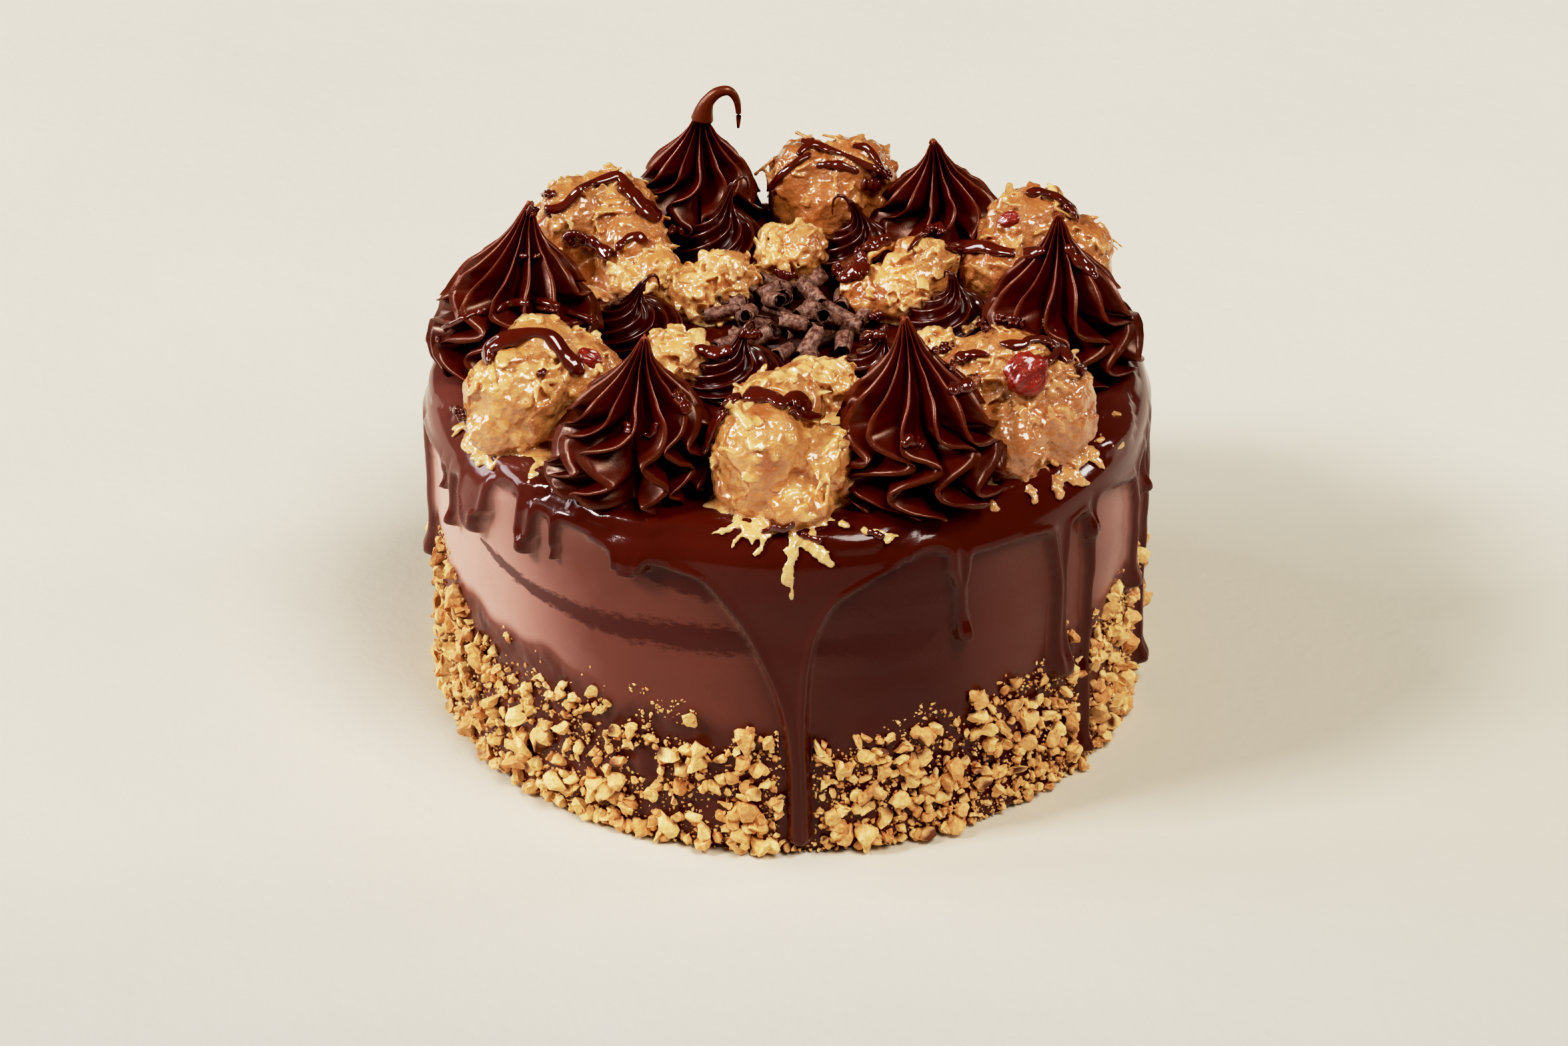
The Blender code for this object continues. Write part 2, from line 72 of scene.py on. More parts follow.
# Drips: angle in degrees from +X, height of the end, half width at the end, sideways drift in degrees.
DRIPS = (
    (185.5, 0.041, 0.0032, 0.0), (201.8, 0.0800, 0.0015, 0.0), (205.2, 0.0715, 0.0023, 0.0),
    (213.2, 0.0772, 0.0062, 0.0), (225.8, 0.0804, 0.0034, 0.0), (231.5, 0.0822, 0.0013, 0.0),
    (245.3, 0.0842, 0.0046, 0.0), (297.6, 0.0630, 0.0031, 1.0),
    (317.5, 0.0375, 0.0040, 1.6), (325.3, 0.0050, 0.0021, 1.5), (323.4, 0.0790, 0.0026, 0.0),
    (341.5, 0.0440, 0.0028, 0.8), (352.6, 0.0060, 0.0034, 1.2), (347.0, 0.0700, 0.0024, 0.0),
    (14.0, 0.0560, 0.0032, 0.8), (33.0, 0.0745, 0.0028, -0.5), (47.0, 0.0400, 0.0036, 1.0),
    (71.0, 0.0690, 0.0024, 0.4), (83.0, 0.0790, 0.0042, 0.0), (104.0, 0.0350, 0.0034, -1.0),
    (122.0, 0.0620, 0.0026, 0.6), (141.0, 0.0770, 0.0030, 0.0), (158.0, 0.0480, 0.0034, 0.8),
)

# The wide run at the front: its left and right edges in degrees at each height.
FRONT_RUN = (
    (0.0960, 250.0, 292.0), (0.0925, 254.0, 288.6), (0.0875, 257.0, 280.6), (0.0830, 259.0, 277.9),
    (0.0745, 262.3, 275.4), (0.0640, 265.2, 273.9), (0.0520, 267.7, 273.3), (0.0400, 269.2, 273.1),
    (0.0180, 269.8, 273.5), (0.0000, 269.9, 273.7),
)
# The front run's bulb: its lowest point, its height and its angle.
FRONT_RUN_END = 0.0030
FRONT_RUN_BULB = 0.0030
FRONT_RUN_ANGLE = 271.5
# Inner corners between glaze shapes are rounded by this.
GLAZE_CORNER = 0.0011
# The glaze's round lip, the bead behind it, and the greatest fatness of a drip's bulb.
LIP_WIDTH = 0.0021
BEAD_DEPTH, BEAD_WIDTH = 0.0019, 0.0012
FATTEST_DRIP = 0.0042
# The cake's skin: rows on the lower and the upper wall, the heights between them, and columns round it.
WALL_ROWS = (52, 44)
WALL_SPLIT = (0.0600, 0.0607)
CAKE_COLUMNS = 740

# The camera: elevation in degrees, distance, lens and sensor in millimetres, and what it looks at.
CAMERA_ELEVATION = 30.5
CAMERA_DISTANCE = 1.278
CAMERA_LENS = 100.0
CAMERA_SENSOR = 36.0
LOOK_AT = (-0.0012, 0.0, 0.0464)

# The room's light, and the lamps: name, direction from the cake, distance, width, watts and colour.
ROOM_LIGHT = 0.20
LAMPS = (
    ("key", (-0.72, -0.22, 0.65), 10.0, 2.20, 800.0, (1.0, 0.98, 0.965)),
    ("side", (-0.90, 0.20, 0.42), 5.0, 2.10, 140.0, (0.90, 0.95, 1.0)),
    ("front", (0.34, -0.38, 0.87), 12.0, 5.10, 1240.0, (1.0, 0.968, 0.915)),
    ("rim", (0.90, 0.25, 0.40), 2.4, 0.40, 12.0, (1.0, 0.98, 0.95)),
)
LAMPS_AIM = (0.0, 0.0, 0.06)
# The floor reaches this far from the middle and lies just below the cake.
FLOOR_HALF, FLOOR_HEIGHT = 3.0, -0.0001

# The print: its gamma and black, and the tone that it shows for each light.
DISPLAY_GAMMA = 0.78
PRINT_BLACK = 0.013
PRINT_CURVE = (
    (0.0, 0.0), (0.25, 0.27), (0.45, 0.485), (0.65, 0.64), (0.95, 0.775), (1.5, 0.885), (2.5, 0.955),
    (5.0, 1.0),
)


# ---------------------------------------------------------------- numbers and noise

# Large primes that scatter the corners of the noise's cubes, one for each axis.
HASH_PRIMES = np.array((73856093, 19349663, 83492791))


def smooth(low, high, value):
    """0 below low, 1 above high, and 3t^2 - 2t^3 in between."""
    share = np.clip((value - low) / (high - low), 0.0, 1.0)
    return share * share * (3.0 - 2.0 * share)


def keyed(keys, where):
    """A smooth curve through (position, value, ...) keys: Catmull-Rom, one column of values each."""
    keys = np.asarray(keys, float)
    where = np.asarray(where, float)
    knots, values = keys[:, 0], keys[:, 1:]
    slopes = np.gradient(values, knots, axis=0)
    i = np.clip(np.searchsorted(knots, where, side="right") - 1, 0, len(knots) - 2)
    span = knots[i + 1] - knots[i]
    s = np.clip((where - knots[i]) / span, 0.0, 1.0)[..., None]
    span = span[..., None]
    return ((2 * s ** 3 - 3 * s ** 2 + 1) * values[i] + (s ** 3 - 2 * s ** 2 + s) * span * slopes[i]
            + (3 * s ** 2 - 2 * s ** 3) * values[i + 1] + (s ** 3 - s ** 2) * span * slopes[i + 1])


def noise(points, size, seed):
    """Smooth noise from -1 to 1: random numbers at the corners of cubes, blended by 3t^2 - 2t^3."""
    cells = np.asarray(points, float) / size
    base = np.floor(cells).astype(np.int64)
    share = cells - base
    share = share * share * (3.0 - 2.0 * share)
    total = np.zeros(cells.shape[:-1])
    for corner in itertools.product((0, 1), repeat=3):
        at = base + np.array(corner)
        x, y, z = np.moveaxis(at * HASH_PRIMES, -1, 0)
        mixed = x ^ y ^ z ^ (seed * 40503)
        mixed = (mixed ^ (mixed >> 13)) * 1274126177 & 0xFFFFFFFF
        mixed = (mixed ^ (mixed >> 16)) & 0xFFFF
        weight = np.prod(np.where(np.array(corner) == 1, share, 1.0 - share), axis=-1)
        total += weight * (mixed / 32767.5 - 1.0)
    return total


def rough(points, size, seed):
    """Noise of three sizes, each half as big and half as strong as the one before."""
    return sum(noise(points, size / 2 ** k, seed + 17 * k) / 2 ** k for k in range(3))


def unit(vectors):
    """The same directions at unit length."""
    return vectors / (np.linalg.norm(vectors, axis=-1, keepdims=True) + 1e-12)


def turned_frames(rng, count):
    """Random turning matrices, from unit quaternions drawn at random."""
    q = rng.normal(size=(count, 4))
    w, x, y, z = (q / np.linalg.norm(q, axis=1, keepdims=True)).T
    rows = ((1 - 2 * (y * y + z * z), 2 * (x * y - z * w), 2 * (x * z + y * w)),
            (2 * (x * y + z * w), 1 - 2 * (x * x + z * z), 2 * (y * z - x * w)),
            (2 * (x * z - y * w), 2 * (y * z + x * w), 1 - 2 * (x * x + y * y)))
    return np.array(rows).transpose(2, 0, 1)


# ---------------------------------------------------------------- meshes

def ring_faces(rows, columns):
    """Quads between rings of points, row by row, closed round each ring."""
    r, c = np.meshgrid(np.arange(rows - 1), np.arange(columns), indexing="ij")
    after = (c + 1) % columns
    quads = np.stack((r * columns + c, r * columns + after, (r + 1) * columns + after,
                      (r + 1) * columns + c), axis=-1)
    return quads.reshape(-1, 4)


def closed_rings(rings):
    """Points and faces of a skin over rings (rows, columns, 3), with a pole at each end."""
    rows, columns, _ = rings.shape
    points = np.concatenate((rings.reshape(-1, 3), rings[0].mean(0)[None], rings[-1].mean(0)[None]))
    c = np.arange(columns)
    after = (c + 1) % columns
    last = (rows - 1) * columns
    bottom = np.stack((np.full(columns, rows * columns), after, c), axis=-1)
    top = np.stack((np.full(columns, rows * columns + 1), last + c, last + after), axis=-1)
    return points, [ring_faces(rows, columns), bottom, top]


def ball_rings(rows, columns):
    """Directions out from a middle, as rings from the lowest to the highest."""
    lift = np.linspace(-math.pi / 2, math.pi / 2, rows)[1:-1, None]
    turn = np.linspace(0.0, 2 * math.pi, columns, endpoint=False)[None, :]
    level = np.cos(lift)
    return np.stack(np.broadcast_arrays(level * np.cos(turn), level * np.sin(turn), np.sin(lift)), axis=-1)


def repeated(faces, count, points_each):
    """The faces of several alike shapes, whose points follow one another."""
    starts = (np.arange(count) * points_each)[:, None, None]
    return [(faces + starts).reshape(-1, faces.shape[1])]


def joined(parts):
    """Several (points, faces) put into one."""
    points, faces, start = [], [], 0
    for part_points, part_faces in parts:
        points.append(part_points)
        faces += [group + start for group in part_faces]
        start += len(part_points)
    return np.concatenate(points), faces


def vectors_of(items, field):
    """A vector for each item of a mesh's list, as rows."""
    values = np.empty(len(items) * 3, np.float32)
    items.foreach_get(field, values)
    return values.reshape(-1, 3)


def set_measure(mesh, name, values):
    """A named number at each point of a mesh."""
    mesh.attributes.new(name, "FLOAT", "POINT").data.foreach_set("value", np.asarray(values, np.float32))


def placed(name, mesh, finish):
    """An object at the origin with this mesh and this material."""
    mesh.materials.clear()
    mesh.materials.append(finish)
    piece = bpy.data.objects.new(name, mesh)
    bpy.context.scene.collection.objects.link(piece)
    return piece


def new_piece(name, points, faces, finish, flat=False, **measures):
    """An object at the origin from points, groups of faces and named measures at the points."""
    mesh = bpy.data.meshes.new(name)
    corners = np.concatenate([np.asarray(group).ravel() for group in faces]).astype(np.int32)
    sizes = np.concatenate([np.full(len(group), np.shape(group)[1]) for group in faces]).astype(np.int32)
    mesh.vertices.add(len(points))
    mesh.vertices.foreach_set("co", np.asarray(points, np.float32).ravel())
    mesh.loops.add(len(corners))
    mesh.loops.foreach_set("vertex_index", corners)
    mesh.polygons.add(len(sizes))
    starts = np.concatenate(((0,), np.cumsum(sizes)[:-1]))
    mesh.polygons.foreach_set("loop_start", starts.astype(np.int32))
    mesh.polygons.foreach_set("use_smooth", np.full(len(sizes), not flat))
    for measure, values in measures.items():
        set_measure(mesh, measure, values)
    mesh.update(calc_edges=True)
    return placed(name, mesh, finish)


def settled(piece, slot, *nodes):
    """The piece rides on the cake and stands for the nodes named; its slot is not used."""
    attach(piece, "root")
    if nodes:
        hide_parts(*nodes)
    return piece


def tube(path, radii, sides):
    """A round strand: rings of points at radius r about a path, across its direction, with poles."""
    way = unit(np.gradient(path, axis=0))
    side = unit(np.cross(way, np.array((0.001, 0.001, 1.001))))
    over = np.cross(side, way)
    turn = np.linspace(0.0, 2 * math.pi, sides, endpoint=False)[:, None]
    ring = np.cos(turn) * side[:, None] + np.sin(turn) * over[:, None]
    return closed_rings(path[:, None] + radii[:, None, None] * ring)


# ---------------------------------------------------------------- finishes

class Finish:
    """A Principled material with short ways to add nodes."""

    def __init__(self, name, **sockets):
        self.material = bpy.data.materials.new(name)
        self.material.use_nodes = True
        self.tree = self.material.node_tree
        self.shader = self.tree.nodes["Principled BSDF"]
        for socket, value in sockets.items():
            self.shader.inputs[socket.replace("_", " ")].default_value = value
        self.spot = self.add("ShaderNodeTexCoord").outputs["Object"]

    def add(self, kind, **sockets):
        made = self.tree.nodes.new(kind)
        for socket, value in sockets.items():
            self.feed(made.inputs[socket.replace("_", " ")], value)
        return made

    def feed(self, socket, value):
        if isinstance(value, bpy.types.NodeSocket):
            self.tree.links.new(value, socket)
        else:
            socket.default_value = value

    def set(self, socket, value):
        self.feed(self.shader.inputs[socket], value)

    def measure(self, name):
        made = self.add("ShaderNodeAttribute")
        made.attribute_name = name
        return made.outputs["Fac"]

    def grain(self, scale, detail=2.0, roughness=0.5, stretch=(1.0, 1.0, 1.0)):
        place = self.add("ShaderNodeMapping", Vector=self.spot, Scale=stretch)
        return self.add("ShaderNodeTexNoise", Vector=place.outputs["Vector"], Scale=scale, Detail=detail,
                        Roughness=roughness).outputs["Fac"]

    def math(self, operation, first, second):
        made = self.tree.nodes.new("ShaderNodeMath")
        made.operation = operation
        self.feed(made.inputs[0], first)
        self.feed(made.inputs[1], second)
        return made.outputs[0]

    def span(self, value, low, high, to_low=0.0, to_high=1.0):
        made = self.add("ShaderNodeMapRange")
        for socket, number in zip(("Value", "From Min", "From Max", "To Min", "To Max"),
                                  (value, low, high, to_low, to_high)):
            self.feed(made.inputs[socket], number)
        return made.outputs["Result"]

    def mixed(self, share, first, second):
        made = self.tree.nodes.new("ShaderNodeMix")
        made.data_type = "RGBA"
        self.feed(made.inputs[0], share)
        for socket, colour in ((made.inputs[6], first), (made.inputs[7], second)):
            self.feed(socket, (*colour, 1.0) if isinstance(colour, tuple) and len(colour) == 3 else colour)
        return made.outputs[2]

    def bump(self, height, distance, strength):
        before = self.shader.inputs["Normal"]
        made = self.add("ShaderNodeBump", Height=height, Distance=distance, Strength=strength)
        if before.is_linked:
            self.tree.links.new(before.links[0].from_socket, made.inputs["Normal"])
        self.tree.links.new(made.outputs["Normal"], before)


def ganache_finish():
    """Satin ganache on the wall, and smoother, glossier glaze where the measure 'glazed' is 1.

    The wall is painted paler where the sheen measure is high, a painted reflection of the pale floor and
    lamps in its satin, and painted deep red-brown in the dark bands where 'band' is 1, where it reflects
    nothing bright.
    """
    finish = Finish("dark_ganache", Specular_IOR_Level=0.34, Coat_Weight=0.10, Coat_Roughness=0.06,
                    Sheen_Weight=0.18, Sheen_Roughness=0.35, Sheen_Tint=(1.0, 0.84, 0.80, 1.0))
    glazed = finish.measure("glazed")
    cloud = finish.grain(28.0, 3.0)
    torn = finish.span(finish.grain(330.0, 5.0, 0.65, (1.0, 1.0, 2.6)), 0.25, 0.75, -0.30, 0.30)
    # Painted reflection: a measure by angle lightens the wall's base colour, standing in for the pale floor
    # and lamps seen in its satin.
    milky = finish.math("ADD", finish.measure("milky"), finish.span(cloud, 0.3, 0.7, -0.05, 0.05))
    wall = finish.mixed(finish.span(milky, 0.0, 0.6), (0.072, 0.009, 0.006), (0.190, 0.055, 0.038))
    wall = finish.mixed(finish.span(milky, 0.6, 1.0), wall, (0.66, 0.385, 0.330))
    # Painted dark bands: where the wall reflects nothing bright it is painted deep red-brown, with none of
    # the painted reflection.
    dark_band = finish.span(finish.math("ADD", finish.measure("band"), torn), 0.36, 0.62, 0.0, 0.85)
    wall = finish.mixed(dark_band, wall, (0.068, 0.004, 0.002))
    glaze = finish.mixed(finish.span(cloud, 0.3, 0.7), (0.098, 0.015, 0.009), (0.072, 0.010, 0.006))
    # The glaze also takes the painted reflection where that measure is highest.
    glaze = finish.mixed(finish.span(milky, 0.7, 1.0, 0.0, 0.7), glaze, (0.19, 0.060, 0.045))
    finish.set("Base Color", finish.mixed(glazed, wall, glaze))
    patchy = finish.span(finish.grain(90.0, 3.0), 0.35, 0.7, 0.26, 0.40)
    finish.set("Roughness", finish.math("MULTIPLY", patchy, finish.span(glazed, 0.0, 1.0, 1.0, 0.40)))
    finish.bump(finish.grain(260.0, 4.0, 0.6, (1.0, 1.0, 2.2)), 0.00022, 0.30)
    return finish.material


def piped_finish():
    """Dark buttercream: satin, with rib edges painted lighter orange-brown where 'edge' is 1, as light
    glowing through the thin crests and tips.
    """
    finish = Finish("piped_icing", Specular_IOR_Level=0.72, Specular_Tint=(1.0, 0.70, 0.56, 1.0))
    cloud = finish.grain(120.0, 3.0)
    body = finish.mixed(finish.span(cloud, 0.3, 0.7), (0.100, 0.014, 0.007), (0.070, 0.009, 0.005))
    frayed = finish.span(finish.grain(900.0, 2.0), 0.35, 0.65, 0.55, 1.0)
    # Painted glow: thin crests and tips are lightened to orange-brown, standing in for light that shines
    # through them.
    share = finish.math("MULTIPLY", finish.measure("edge"), frayed)
    finish.set("Base Color", finish.mixed(share, body, (0.30, 0.070, 0.025)))
    finish.set("Roughness", finish.span(finish.grain(400.0, 3.0), 0.3, 0.7, 0.24, 0.36))
    finish.bump(finish.grain(1500.0, 3.0, 0.6), 0.00008, 0.5)
    return finish.material


def swirl_finish():
    """Wetter dark icing of the small swirls, with painted highlight lines along the ridge crests where 'edge'
    is 1.
    """
    finish = Finish("swirl_icing", Specular_IOR_Level=0.50, Coat_Weight=0.45, Coat_Roughness=0.05)
    cloud = finish.span(finish.grain(160.0, 3.0), 0.3, 0.7)
    body = finish.mixed(cloud, (0.085, 0.012, 0.007), (0.055, 0.008, 0.005))
    # Painted highlight: thin light lines along the ridges' crests and the tip.
    finish.set("Base Color", finish.mixed(finish.measure("edge"), body, (0.16, 0.045, 0.020)))
    finish.set("Roughness", finish.span(finish.grain(300.0, 3.0), 0.3, 0.7, 0.18, 0.30))
    finish.bump(finish.grain(900.0, 2.0), 0.00006, 0.5)
    return finish.material


def coconut_finish():
    """Sticky caramel with coconut: paler where shreds stand proud, their own colour, and painted browner in
    its folds as shade.
    """
    finish = Finish("coconut_icing", Specular_IOR_Level=0.55, Subsurface_Weight=0.55,
                    Subsurface_Radius=(0.006, 0.0035, 0.0016), Subsurface_Scale=0.40,
                    Coat_Weight=1.0, Coat_Roughness=0.05, Coat_IOR=1.65)
    proud = finish.measure("proud")
    blotch = finish.span(finish.grain(130.0, 3.0), 0.40, 0.60)
    tone = finish.measure("tone")
    caramel = finish.mixed(blotch, (0.84, 0.45, 0.190), (0.73, 0.35, 0.125))
    caramel = finish.mixed(tone, caramel, (0.50, 0.205, 0.066))
    browner = finish.span(finish.grain(62.0, 2.0), 0.56, 0.70)
    caramel = finish.mixed(browner, caramel, (0.44, 0.155, 0.048))
    pale = finish.mixed(blotch, (0.96, 0.58, 0.275), (0.88, 0.47, 0.190))
    pale = finish.mixed(tone, pale, (0.66, 0.32, 0.125))
    # Painted shade: the folds, where 'proud' is low, are painted darker brown.
    low = finish.mixed(finish.span(proud, 0.0, 0.16), (0.45, 0.160, 0.048), caramel)
    finish.set("Base Color", finish.mixed(finish.span(proud, 0.45, 1.0), low, pale))
    finish.set("Roughness", finish.span(finish.grain(700.0, 3.0), 0.3, 0.7, 0.16, 0.36))
    finish.bump(finish.grain(520.0, 3.0, 0.5), 0.0006, 0.8)
    finish.bump(finish.grain(1500.0, 2.0, 0.5), 0.0003, 0.8)
    return finish.material


def nut_finish():
    """Broken nut: cream inside, brown skin where 'skin' is 1, one tint for each piece."""
    finish = Finish("chopped_nut", Specular_IOR_Level=0.4, Subsurface_Weight=0.08,
                    Subsurface_Radius=(0.002, 0.001, 0.0005), Subsurface_Scale=0.5)
    fleck = finish.span(finish.grain(900.0, 3.0), 0.35, 0.65)
    tint = finish.measure("tint")
    pale = finish.mixed(fleck, (1.00, 0.72, 0.38), (0.92, 0.55, 0.22))
    tan = finish.mixed(fleck, (0.82, 0.42, 0.175), (0.60, 0.26, 0.095))
    inside = finish.mixed(tint, pale, tan)
    finish.set("Base Color", finish.mixed(finish.measure("skin"), inside, (0.15, 0.045, 0.016)))
    finish.set("Roughness", 0.55)
    finish.bump(finish.grain(1400.0, 3.0, 0.6), 0.0003, 0.7)
    return finish.material


def curl_finish():
    """Dry shaved chocolate with a pale bloom and grain along each roll, and painted shade where 'inner' is 1:
    the inner face of each roll and the core under them.
    """
    finish = Finish("shaved_chocolate", Specular_IOR_Level=0.4)
    dust = finish.span(finish.grain(750.0, 5.0, 0.75), 0.42, 0.66)
    outer = finish.mixed(dust, (0.105, 0.032, 0.020), (0.440, 0.260, 0.195))
    # Painted shade: the inner faces of the rolls and the core below are painted near-black.
    finish.set("Base Color", finish.mixed(finish.measure("inner"), outer, (0.042, 0.012, 0.007)))
    finish.set("Roughness", 0.50)
    finish.bump(finish.grain(1600.0, 3.0), 0.00015, 0.6)
    return finish.material


def syrup_finish():
    """Wet dark syrup that lies in threads and pools."""
    finish = Finish("chocolate_syrup", Specular_IOR_Level=0.6, Coat_Weight=0.8, Coat_Roughness=0.03)
    finish.set("Base Color", finish.mixed(finish.grain(200.0), (0.150, 0.022, 0.010), (0.080, 0.010, 0.005)))
    finish.set("Roughness", 0.10)
    return finish.material


def pecan_finish():
    """Glazed pecan skin, dark red-brown."""
    finish = Finish("glazed_pecan", Specular_IOR_Level=0.5, Coat_Weight=0.9, Coat_Roughness=0.07)
    streak = finish.span(finish.grain(500.0, 3.0), 0.35, 0.65)
    finish.set("Base Color", finish.mixed(streak, (0.34, 0.036, 0.020), (0.17, 0.018, 0.011)))
    finish.set("Roughness", 0.25)
    finish.bump(finish.grain(700.0, 3.0), 0.0005, 0.8)
    return finish.material


# ---------------------------------------------------------------- the iced cake

def angle_apart(angle, other):
    """The signed difference of two angles in radians, from -pi to pi."""
    return (angle - other + math.pi) % (2 * math.pi) - math.pi


def drip_distance(angle, height, drip):
    """Distance in metres outside a drip's outline on the unrolled wall, negative inside it.

    The drip is a vertical line that ends in a round bulb. Its half width is least about half way
    down and widens to the sheet above and to the bulb below.
    """
    degrees, end, half_width, drift = drip
    start = CAKE_HEIGHT - SHEET_DROP
    share = np.clip((start - height) / (start - end), 0.0, 1.0)
    middle = math.radians(degrees) + math.radians(drift) * (share - 1.0)
    width = half_width * (0.72 + 0.28 * smooth(0.55, 0.95, share) + 0.5 * (1.0 - smooth(0.0, 0.35, share)))
    below = np.maximum(0.0, end + half_width - height)
    return np.hypot(angle_apart(angle, middle) * CAKE_RADIUS, below) - width


def front_run_distance(angle, height):
    """Distance outside the wide front run: half its width less the distance from its middle line."""
    edges = np.radians(keyed(FRONT_RUN[::-1], height))
    middle, half_width = edges.mean(-1), (edges[..., 1] - edges[..., 0]) / 2 * CAKE_RADIUS
    below = np.maximum(0.0, FRONT_RUN_END + FRONT_RUN_BULB - height)
    return np.hypot(angle_apart(angle, middle) * CAKE_RADIUS, below) - half_width


def waved(waves, angle):
    """The sum of waves round the cake, depth sin(count angle + phase)."""
    return sum(depth * np.sin(count * angle + phase) for count, depth, phase in waves)


def glaze_distance(angle, height):
    """Distance outside the glaze: the sheet, drips and front run in a smooth union.

    The union of distances d is -k log(sum of exp(-d / k)), which rounds each inner corner.
    """
    rise, share = np.moveaxis(keyed(SHEET_RISES, np.degrees(angle) % 360.0), -1, 0)
    edge = CAKE_HEIGHT - SHEET_DROP + rise + share * waved(SHEET_WAVES, angle)
    total = np.exp(-(edge - height) / GLAZE_CORNER)
    for drip in DRIPS:
        total += np.exp(-drip_distance(angle, height, drip) / GLAZE_CORNER)
    total += np.exp(-front_run_distance(angle, height) / GLAZE_CORNER)
    return -GLAZE_CORNER * np.log(np.maximum(total, 1e-30))


def even_by(weight, start, end, count):
    """Positions from start to end, closer together where the weight is greater."""
    fine = np.linspace(start, end, 4001)
    total = np.concatenate(((0.0,), np.cumsum((weight(fine[1:]) + weight(fine[:-1])) / 2)))
    return np.interp(np.linspace(0.0, total[-1], count), total, fine)


def cake_columns(count):
    """Angles round the cake, closer together at the drips."""
    def weight(angle):
        near = np.zeros_like(angle)
        for degrees, _, half_width, _ in DRIPS:
            away = angle_apart(angle, math.radians(degrees)) * CAKE_RADIUS
            near += np.exp(-(away / (half_width + 0.0022)) ** 4)
        run = angle_apart(angle, math.radians(FRONT_RUN_ANGLE)) * CAKE_RADIUS
        near += np.exp(-(run / 0.009) ** 4)
        return 1.0 + 1.6 * np.minimum(near, 1.0)
    return even_by(weight, 0.0, 2 * math.pi, count + 1)[:-1]


# A second lip of glaze runs round the shoulder: its distance along the skin, its waves and its size.
UPPER_LIP = 0.0990
UPPER_LIP_WAVES = ((7, 0.0016, 1.1), (12, 0.0014, 3.0), (19, 0.0011, 0.4), (31, 0.0006, 2.2))
UPPER_LIP_HEIGHT, UPPER_LIP_WIDTH = 0.0016, 0.0020


def upper_lip(angle, travel):
    """Thickness of the upper lip: T sqrt(1 - (1 - q / e)^2), with q the distance past its edge.

    It thins out to nothing on the top, so that the toppings' feet stay clear of it.
    """
    edge = UPPER_LIP + waved(UPPER_LIP_WAVES, angle)
    inside = np.clip((travel - edge) / UPPER_LIP_WIDTH, 0.0, 1.0)
    return UPPER_LIP_HEIGHT * np.sqrt(1.0 - (1.0 - inside) ** 2) * (1.0 - smooth(0.1025, 0.1120, travel))


# How much painted reflection of the pale floor and lamps lightens the ganache wall, by angle in degrees.
PAINTED_SHEEN = (
    (0, 0.70), (30, 0.45), (70, 0.62), (105, 0.40), (140, 0.62), (172, 0.85), (190, 1.00), (205, 1.00),
    (215, 0.92), (228, 0.74), (245, 0.55), (262, 0.47), (270, 0.24), (280, 0.04), (296, 0.06), (302, 0.22),
    (316, 0.36), (326, 0.62), (340, 0.78), (352, 0.74), (360, 0.70),
)
# Dark bands painted on the wall where it reflects nothing bright, each as (angle in degrees, middle height,
# half height) along it, and the least half height that counts.
PAINTED_DARK_BANDS = (
    ((213, 0.0745, 0.0004), (217, 0.0725, 0.0016), (225, 0.0693, 0.0018), (233, 0.0682, 0.0024),
     (240, 0.0674, 0.0030), (250, 0.0680, 0.0040), (260, 0.0682, 0.0042), (268, 0.0680, 0.0030)),
    ((244, 0.0880, 0.0010), (249, 0.0870, 0.0028), (256, 0.0850, 0.0036), (262, 0.0820, 0.0020)),
    ((273, 0.0850, 0.0060), (280, 0.0860, 0.0085), (288, 0.0870, 0.0085), (294, 0.0865, 0.0075),
     (297, 0.0855, 0.0040)),
    ((273, 0.0668, 0.0022), (281, 0.0665, 0.0034), (287, 0.0645, 0.0052), (291, 0.0662, 0.0030),
     (294, 0.0680, 0.0004)),
    ((20, 0.0640, 0.0004), (34, 0.0660, 0.0030), (58, 0.0690, 0.0040), (82, 0.0660, 0.0030),
     (96, 0.0640, 0.0004)),
    ((112, 0.0820, 0.0004), (130, 0.0800, 0.0040), (150, 0.0700, 0.0030), (164, 0.0680, 0.0004)),
)
THINNEST_DARK_BAND = 0.0003


def painted_dark_bands(angle, height):
    """1 in the middle of a painted dark band, 0.5 on its edge and less outside it, the most of all bands."""
    degrees = np.degrees(angle) % 360.0
    most = np.zeros(np.broadcast_shapes(angle.shape, height.shape))
    for keys in PAINTED_DARK_BANDS:
        middle, half = np.moveaxis(keyed(keys, degrees), -1, 0)
        ends = (degrees > keys[0][0]) & (degrees < keys[-1][0])
        inside = np.clip(1.0 - 0.5 * np.abs(height - middle) / np.maximum(half, THINNEST_DARK_BAND), 0.0, 1.0)
        most = np.maximum(most, np.where(ends, inside, 0.0))
    return most


